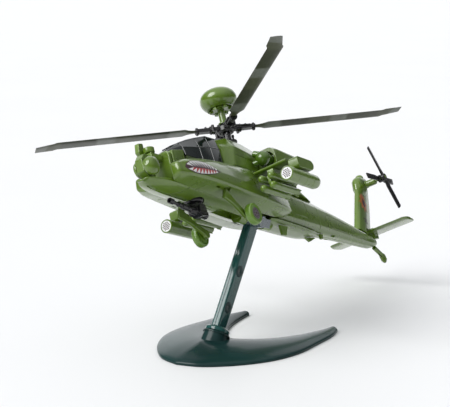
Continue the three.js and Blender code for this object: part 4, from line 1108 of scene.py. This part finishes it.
def gun():
    ring = lathe([(2.1, -40.2), (3.9, -40.2), (3.95, -40.5), (3.95, -42.3), (3.7, -42.7), (3.3, -42.9),
                  (2.1, -42.9), (2.1, -40.2)], (GUN.x, 0, 0), (0, 0, 1), 48)
    piece("gun_collar", ring, BLACK, "helicopter", ["gun_ring"], "black_plastic")
    pivot = rod((GUN.x, 0, -38.8), (GUN.x, 0, -44), 1.75, 32)
    housing = prism(fillet([(GUN.x - 5.6, -48.2), (GUN.x - 1, -48.6), (GUN.x + 2.2, -47.2),
                            (GUN.x + 2.2, -43.2), (GUN.x - 4.6, -43.2)], 0.5, 3), -2.3, 2.3)
    yokes = prism(fillet([(GUN.x - 3.4, -47.6), (GUN.x + 1.0, -47.6), (GUN.x + 0.6, -44.2),
                          (GUN.x - 3.0, -44.2)], 0.7, 3), -3.0, 3.0)
    feed = prism(fillet([(GUN.x - 5.0, -46.6), (GUN.x - 3.6, -46.6), (GUN.x - 3.6, -44.6),
                         (GUN.x - 5.0, -44.6)], 0.4, 3), -2.8, -1.6)
    lean = V(1, 0, 0.11).normalized()
    start = V(GUN.x, 0, -46.4)
    profile = [(0, -6.8), (1.7, -6.8), (1.7, 3.6), (1.45, 4.0), (1.25, 4.2), (1.25, 6.0), (1.0, 6.2),
               (1.0, 6.8), (1.25, 7.0), (1.25, 9.6), (0.8, 10.0), (0.75, 11.3), (1.15, 11.5),
               (1.15, 12.3), (0.75, 12.5), (0.75, 15.4), (1.2, 15.7), (1.2, 18.0), (0.7, 18.0),
               (0.6, 16.4), (0, 16.4)]
    barrel = lathe(profile, start, lean, 32)
    piece("chain_gun", merged(pivot, housing, yokes, feed, barrel), BLACK, "gun", ["gun"],
          "black_plastic", bevel=0.16)


# ---- tail --------------------------------------------------------------------------------
TAIL = heli_joint("tail_rotor_spin")
STAB_Z = -31.9


def fin():
    def ring(front, back, half, z):
        edge = fillet([(front, 0), (front - 1.4, half), ((front + back) / 2, half), (back, 0.35),
                       (back, -0.35), ((front + back) / 2, -half), (front - 1.4, -half)],
                      [0.9, 1.2, 3, 0.2, 0.2, 3, 1.2], 4)
        return [V(p.x, p.y, boom_top(p.x) + 0.35 if z is None else z) for p in edge]
    rows = [ring(-106.9, -122, 1.9, None), ring(-113.6, -129, 1.85, -20),
            ring(-121.2, -134.6, 1.6, -6)]
    blade = loft(rows)
    port = (0, -1, 0)
    blaze = [(-121.6, -10.6), (-119.2, -12.6), (-119.4, -14.2), (-116.9, -15.6), (-118.9, -16.9),
             (-117.6, -19.2), (-119.7, -19.0), (-120.4, -21.6), (-122.0, -19.4), (-124.3, -20.9),
             (-123.8, -18.0), (-125.6, -16.4), (-123.4, -15.0), (-123.9, -12.6)]
    core = [(-121.4, -13.4), (-119.9, -16.0), (-120.9, -18.4), (-123.0, -17.6), (-122.8, -14.8)]
    both("print_blaze", decal(blade, blaze, port), ORANGE_PRINT, None)
    both("print_core", decal(blade, core, port, 0.1), MAROON_PRINT, None)
    bars = [[(x, z), (x - 1.9, z - 0.1), (x - 1.9, z - 0.8), (x, z - 0.7)]
            for x, z in ((-116.2, -25.0), (-118.6, -25.3), (-116.8, -26.6), (-119.2, -26.9))]
    both("print_bars", merged(*[decal(blade, bar, port) for bar in bars]), MAROON_PRINT, None)
    slot = cuboid((-134, -6, -36), (-116.6, 6, STAB_Z + 1.3))
    blade = boolean(blade, [slot])

    def housing_ring(z, front, back, half):
        outline = fillet([(front, 0), (front - 1.6, half), (back + 0.8, half), (back, half * 0.5),
                          (back, -half * 0.5), (back + 0.8, -half), (front - 1.6, -half)],
                         [1.0, 1.4, 1.0, 0.8, 0.8, 1.0, 1.4], 4)
        return [V(p.x, p.y, z) for p in outline]
    housing = loft([housing_ring(*row) for row in (
        (-11.4, -120.6, -126.4, 1.5), (-9.4, -120.2, -128.6, 2.3), (-7.2, -120.2, -130.2, 2.7),
        (-2.8, -121.2, -132.0, 2.7), (-1.2, -122.6, -131.9, 2.4), (-0.7, -123.6, -131.2, 1.9))])
    cap = lathe([(0, -1), (2.2, -1), (2.25, 0.4), (2.0, 1.4), (1.4, 2.0), (0.6, 2.3), (0, 2.35)],
                (-128.4, 0, -0.9), (0, 0, 1), 36)
    piece("tail_fin", merged(blade, housing, cap), GREEN, "helicopter", ["fin"], sharp=40)


def stabilator():
    front, back, span = -117.6, -131.4, 22.6

    def ring(y, lead, trail):
        section = fillet([(lead, STAB_Z), (lead - 2.4, STAB_Z + 0.95), (trail, STAB_Z + 0.2),
                          (trail, STAB_Z - 0.2), (lead - 2.4, STAB_Z - 0.85)],
                         [0.5, 2, 0.15, 0.15, 2], 4)
        return [V(p.x, y, p.y) for p in section]
    rows = []
    for k in range(8):
        a = 0.5 * math.pi * k / 7
        inset = 2.6 * (1 - math.sin(a))
        rows.append(ring(-span + 2.2 * (1 - math.cos(a)), front - 0.6 - inset * 1.1,
                         back + inset * 0.9))
    middle = [ring(y, front - 0.6, back) for y in (-12, 0, 12)]
    mirror = [[V(p.x, -p.y, p.z) for p in row] for row in reversed(rows)]
    plank = loft([*rows, *middle, *mirror])
    root = prism(fillet([(-127.4, STAB_Z - 3.4), (-123.2, STAB_Z - 3.8), (-123.2, STAB_Z + 2.2),
                         (-127.6, STAB_Z + 1.4)], 0.4, 3), -2.3, 2.3)
    piece("tail_stabilator", merged(plank, root), GREEN, "helicopter", ["stabilator"], bevel=0.2)


def tail_wheel_leg():
    strut = tube([(-123.2, 0, -40.0), (-125.2, 0, -40.9), (-128.4, 0, -42.3), (-130.4, 0, -43.3),
                  (-131.2, 0, -44.4)], 1.15, 20)
    strut = boolean(strut, [cuboid((-130.2, -0.3, -46), (-126.6, 0.3, -42.2))])
    fork = [prism(fillet([(-129.2, -42.6), (-131.2, -43.0), (-132.6, -45.6), (-131.2, -46.2)], 0.4, 3),
                  side * 1.05 - 0.28, side * 1.05 + 0.28) for side in (1, -1)]
    rim = lathe([(0, -0.75), (1.5, -0.75), (2.0, -0.6), (2.25, -0.2), (2.25, 0.2), (2.0, 0.6),
                 (1.5, 0.75), (0, 0.75)], (-131.6, 0, -45.0), (0, 1, 0), 40)
    shape = merged(strut, *fork, rim)
    piece("tail_wheel_leg", shape, GREEN, "helicopter", ["tail_leg"], bevel=0.15)


def tail_rotor():
    sleeve = lathe([(0, 3.05), (2.1, 3.05), (2.1, 3.5), (1.8, 3.8), (1.8, 8.2), (1.6, 8.6), (0, 8.6)],
                   (TAIL.x, 0, TAIL.z), (0, 1, 0), 40)
    spindle = rod((TAIL.x, 8, TAIL.z), (TAIL.x, 14.6, TAIL.z), 0.8, 24)
    piece("tail_rotor_shaft", merged(sleeve, spindle), GREEN, "helicopter", ["tail_shaft"])
    for name, y, direction, reach, node in (
            ("outer", 13.6, V(0.545, 0, 0.84), 18.2, "tail_blades_outer"),
            ("inner", 11.3, V(0.9985, 0, -0.055), 15.2, "tail_blades_inner")):
        direction.normalize()
        across = V(0, 1, 0).cross(direction)
        centre = V(TAIL.x, y, TAIL.z)
        rings = []
        for d, half, thick, twist in (
                (-reach, 1.25, 0.22, -0.1), (-reach + 0.5, 1.55, 0.3, -0.1), (-5, 1.6, 0.34, -0.12),
                (-3.2, 1.0, 0.5, -0.05), (-2.0, 0.9, 0.6, 0), (2.0, 0.9, 0.6, 0), (3.2, 1.0, 0.5, 0.05),
                (5, 1.6, 0.34, 0.12), (reach - 0.5, 1.55, 0.3, 0.1), (reach, 1.25, 0.22, 0.1)):
            outline = fillet([(-half, -thick), (half, -thick), (half, thick), (-half, thick)],
                             0.2, 3)
            rings.append([centre + direction * d + across * p.x + V(0, p.y + twist * p.x, 0)
                          for p in outline])
        boss = lathe([(0, -0.9), (1.8, -0.9), (2.0, -0.6), (2.0, 0.6), (1.8, 0.9), (0, 0.9)],
                     centre, (0, 1, 0), 36)
        shape = boolean(loft(rings), [boss], "UNION")
        shape = boolean(shape, [rod(centre + V(0, -3, 0), centre + V(0, 3, 0), 0.87, 24)])
        piece(f"tail_pair_{name}", shape, BLACK, "tail_rotor", [node], "black_plastic")


# ---- main rotor and mast dome ------------------------------------------------------------
FIRST_BLADE = math.radians(49.6)
ROTOR_R = 85.3
CHORD = 7.0
CUFF_END = 14.0


def mast():
    tube_wall = lathe([(0.95, -23.9), (1.75, -23.9), (1.75, 1.4), (0.95, 1.4), (0.95, -23.9)],
                      (0, 0, 0), (0, 0, 1), 40)
    plate = lathe([(1.4, -7.3), (3.9, -7.3), (3.9, -6.6), (1.4, -6.5), (1.4, -7.3)],
                  (0, 0, 0), (0, 0, 1), 40)
    parts = [tube_wall, plate]
    for i in range(3):
        a = TAU * i / 3 + 0.6
        at = V(3 * math.cos(a), 3 * math.sin(a), 0)
        parts.append(lathe([(0, -6.8), (0.6, -6.8), (0.6, -5.4), (0.45, -5.2), (0.45, -4.2), (0.6, -4),
                            (0.6, -3), (0, -3)], at, (0, 0, 1), 20))
    piece("rotor_mast", merged(*parts), BLACK, "helicopter", ["mast"], "black_plastic", bevel=0.1)


def hub():
    parts = [lathe([(1.82, -2.3), (3.3, -2.3), (3.9, -1.4), (3.9, 0.6), (3.3, 1.2), (2.9, 1.9),
                    (1.82, 1.9), (1.82, -2.3)], (0, 0, 0), (0, 0, 1), 48)]
    for i in range(4):
        turn = Matrix.Rotation(FIRST_BLADE + i * TAU / 4, 4, "Z")
        arm = [
            prism(fillet([(3, -1.0), (CUFF_END, -0.9), (CUFF_END, 0.7), (3, 0.9)], 0.3, 3), -1.5, 1.5),
            lathe([(0, 0), (1.7, 0), (1.9, 0.2), (1.9, 0.7), (1.6, 0.9), (1.6, 1.2), (1.9, 1.4),
                   (1.9, 1.9), (1.7, 2.1), (0, 2.1)], (5.2, 0, -0.1), (1, 0, 0), 32),
            lathe([(0, 0), (1.6, 0), (1.8, 0.15), (1.8, 0.75), (1.6, 0.9), (0, 0.9)],
                  (CUFF_END - 1.1, 0, -0.1), (1, 0, 0), 32),
            rod((6.4, 2.3, -1.6), (6.4, 2.3, 1.5), 0.7, 18),
            cuboid((5.7, 1, -0.8), (7.1, 2.6, 0.5)),
            rod((4.2, -1.75, 0.55), (11.5, -1.75, 0.4), 0.38, 14),
            rod((9.4, -1.1, 0.3), (9.4, -1.1, 1.25), 0.5, 14),
            rod((9.4, 1.1, 0.3), (9.4, 1.1, 1.25), 0.5, 14),
            rod((3.0, 0, 1.0), (3.0, 0, 2.1), 0.55, 14),
        ]
        bracket = merged(*arm)
        bmesh.ops.transform(bracket, matrix=turn, verts=bracket.verts)
        parts.append(bracket)
    piece("rotor_head", merged(*parts), BLACK, "main_rotor", ["rotor_hub"], "black_plastic",
          bevel=0.1)


def blade(i):
    half = CHORD / 2

    def ring(r, lead, trail, thick):
        section = fillet([(lead, 0), (lead - 1.1, thick / 2), (trail, 0.1), (trail, -0.1),
                          (lead - 1.1, -thick / 2)], [0.4, 1.5, 0.05, 0.05, 1.5], 4)
        return [V(r, p.x, p.y) for p in section]
    rows = [ring(CUFF_END + 0.1, 1.5, -1.5, 1.3), ring(16.0, 1.7, -1.7, 1.3),
            ring(17.6, 2.3, -2.3, 1.25),
            ring(19.5, half, -half, 1.2), ring(30, half, -half, 1.15), ring(55, half, -half, 1.1),
            ring(ROTOR_R - 9.5, half, -half, 1.0), ring(ROTOR_R - 8.4, half - 0.2, -half - 0.5, 0.95),
            ring(ROTOR_R - 7.5, half - 0.9, -half - 1, 0.9), ring(ROTOR_R, half - 3.2, -half - 1.6, 0.7)]
    place = HELI @ Matrix.Rotation(FIRST_BLADE + i * TAU / 4, 4, "Z")
    piece(f"rotor_blade_{i + 1}", loft(rows), BLADE, "main_rotor", [f"blade_{i + 1}"],
          "blade_plastic", place, sharp=30)


def radar():
    stem = lathe([(0, -4), (0.88, -4), (0.88, 2.2), (2.7, 2.2), (2.7, 2.8), (1.6, 3.2), (1.6, 9.2),
                  (4.3, 9.2), (4.3, 10.6), (2.4, 10.6), (2.4, 13), (0, 13)], (0, 0, 0), (0, 0, 1), 40)
    parts = [stem]
    for i in range(6):
        lug = cuboid((3.4, -0.75, 8.5), (5.1, 0.75, 10.4))
        bmesh.ops.transform(lug, matrix=Matrix.Rotation(i * TAU / 6, 4, "Z"), verts=lug.verts)
        parts.append(lug)
    piece("radar_post", merged(*parts), GREEN, "radar", ["radar_stem"], bevel=0.15)
    profile = [(2.75, 13.4), (2.75, 10.9), (5.7, 10.9), (5.75, 10.2), (6.0, 9.75)]
    height, middle, radius = 5.2, 14.1, 8.4
    start = math.asin((9.7 - middle) / height)
    for k in range(33):
        a = start + (math.pi / 2 - start) * k / 32
        profile.append((max(0.0, radius * max(0.0, math.cos(a)) ** 0.72), middle + height * math.sin(a)))
    profile[-1] = (0, profile[-1][1])
    profile = [(0, 13.4), *profile]
    piece("radar_dome_shell", lathe(profile, (0, 0, 0), (0, 0, 1), 80), GREEN, "radar",
          ["radar_dome"], sharp=50)


# ---- build -------------------------------------------------------------------------------
def both(name, shape, material, node, slot="green_plastic", bodies=("helicopter",) * 2, **extra):
    """The port piece and its mirror image."""
    other = starboard(shape)
    for side, bm, body in (("left", shape, bodies[0]), ("right", other, bodies[1])):
        nodes = [f"{node}_{side}"] if node else ()
        piece(f"{name}_{side}", bm, material, body, nodes, slot, **extra)


stand_base()
arm_half(1)
arm_half(-1)
knuckle()
both("cheek_fairing", cheek(), GREEN, "cheek", sharp=40)
jaw, tongue, teeth = mouth()
both("print_jaw", jaw, MAROON_PRINT, None)
both("print_tongue", tongue, RED_PRINT, None)
both("print_teeth", teeth, WHITE_PRINT, None)
keel()
rear_belly()
both("boom_shell", boom_half(), GREEN, "tail_boom", sharp=36)
rear_deck()
both("deck_cover", upper_deck(), GREEN, "upper_deck", bevel=0.2)
canopy()
nose()
sensors()
both("engine_nacelle", nacelle(), GREEN, "engine", bevel=0.25)
both("engine_gearbox", gearbox(), DEEP_GREEN, "gearbox", "gearbox_green")
both("stub_wing", wing(), GREEN, "wing", bevel=0.12)
both("pylon_outer", outer_pylon(), GREEN, "outer_pylon", bevel=0.4)
both("pylon_inner", inner_pylon(), GREEN, "inner_pylon", bevel=0.35)
both("pod_tube", rocket_pod(), GREEN, "rocket_pod", sharp=24)
pod_disc, pod_holes = rocket_face()
both("pod_face", pod_disc, WHITE_PRINT, None)
both("pod_mouths", pod_holes, MAROON_PRINT, None)
both("missile_cluster", missile_rack(), GREEN, "missiles", sharp=24)
both("gear_strut", leg(), GREEN, "gear_leg", bevel=0.12)
WHEELS = ("wheel_left", "wheel_right")
both("tyre", wheel_shape(), WHEEL_GREEN, "wheel", "wheel_plastic", WHEELS, sharp=50)
hub_disc, hub_marks = hub_print()
both("hub_disc", hub_disc, GREY_PRINT, None, "wheel_plastic", WHEELS)
both("hub_marks", hub_marks, MAROON_PRINT, None, "wheel_plastic", WHEELS)
gun()
fin()
stabilator()
tail_wheel_leg()
tail_rotor()
mast()
hub()
for index in range(4):
    blade(index)
radar()

for node_name, material in (("core_front", BRICK), ("core_middle", BRICK),
                            ("antenna_front", GREEN), ("antenna_rear", GREEN),
                            ("belly_fin", GREEN)):
    node = frame["nodes"][node_name]
    node.data.materials.clear()
    node.data.materials.append(material)


# ---- floor and light ---------------------------------------------------------------------
def stage_floor():
    n = Nodes("table")
    tone = n.ramp(n.noise(6, 3), [(0.3, (0.80, 0.805, 0.81)), (0.7, (0.81, 0.815, 0.82))])
    n.link(tone, n.shader.inputs["Base Color"])
    n.shader.inputs["Roughness"].default_value = 0.5
    n.shader.inputs["Specular IOR Level"].default_value = 0.15
    mesh = bpy.data.meshes.new("table")
    mesh.from_pydata([(-60, -60, 0), (60, -60, 0), (60, 60, 0), (-60, 60, 0)], [], [(0, 1, 2, 3)])
    mesh.materials.append(n.material)
    table = bpy.data.objects.new("table", mesh)
    bpy.context.scene.collection.objects.link(table)


def sun(name, direction, strength, angle, colour=(1, 1, 1)):
    data = bpy.data.lights.new(name, "SUN")
    data.energy = strength
    data.angle = math.radians(angle)
    data.color = colour
    light = bpy.data.objects.new(name, data)
    bpy.context.scene.collection.objects.link(light)
    light.rotation_euler = Vector(direction).to_track_quat("Z", "Y").to_euler()


def studio_sky():
    """A dim tent with one white card standing behind the model."""
    world = bpy.data.worlds.new("studio")
    bpy.context.scene.world = world
    world.use_nodes = True
    tree = world.node_tree
    background = tree.nodes["Background"]
    place = tree.nodes.new("ShaderNodeTexCoord")
    parts = tree.nodes.new("ShaderNodeSeparateXYZ")
    tree.links.new(place.outputs["Generated"], parts.inputs[0])
    ramp = tree.nodes.new("ShaderNodeValToRGB")
    ramp.color_ramp.elements[0].color = (0.02, 0.021, 0.022, 1)
    ramp.color_ramp.elements[1].color = (1.0, 1.01, 1.03, 1)
    ramp.color_ramp.elements.new(0.35).color = (0.14, 0.145, 0.15, 1)
    tree.links.new(parts.outputs["Z"], ramp.inputs["Fac"])
    facing = tree.nodes.new("ShaderNodeVectorMath")
    facing.operation = "DOT_PRODUCT"
    facing.inputs[1].default_value = Vector((-0.78, -0.57, 0.25)).normalized()
    tree.links.new(place.outputs["Generated"], facing.inputs[0])
    card = tree.nodes.new("ShaderNodeMapRange")
    card.inputs["From Min"].default_value = 0.74
    card.inputs["From Max"].default_value = 0.92
    tree.links.new(facing.outputs["Value"], card.inputs["Value"])
    blend = tree.nodes.new("ShaderNodeMix")
    blend.data_type = "RGBA"
    blend.inputs[7].default_value = (1.1, 1.12, 1.15, 1)
    tree.links.new(card.outputs["Result"], blend.inputs[0])
    tree.links.new(ramp.outputs["Color"], blend.inputs[6])
    tree.links.new(blend.outputs[2], background.inputs["Color"])
    background.inputs["Strength"].default_value = 1.0


stage_floor()
sun("key", (0.8, -0.35, 0.75), 2.8, 42)
studio_sky()
bpy.context.scene.view_settings.view_transform = "Standard"

bpy.context.view_layer.update()
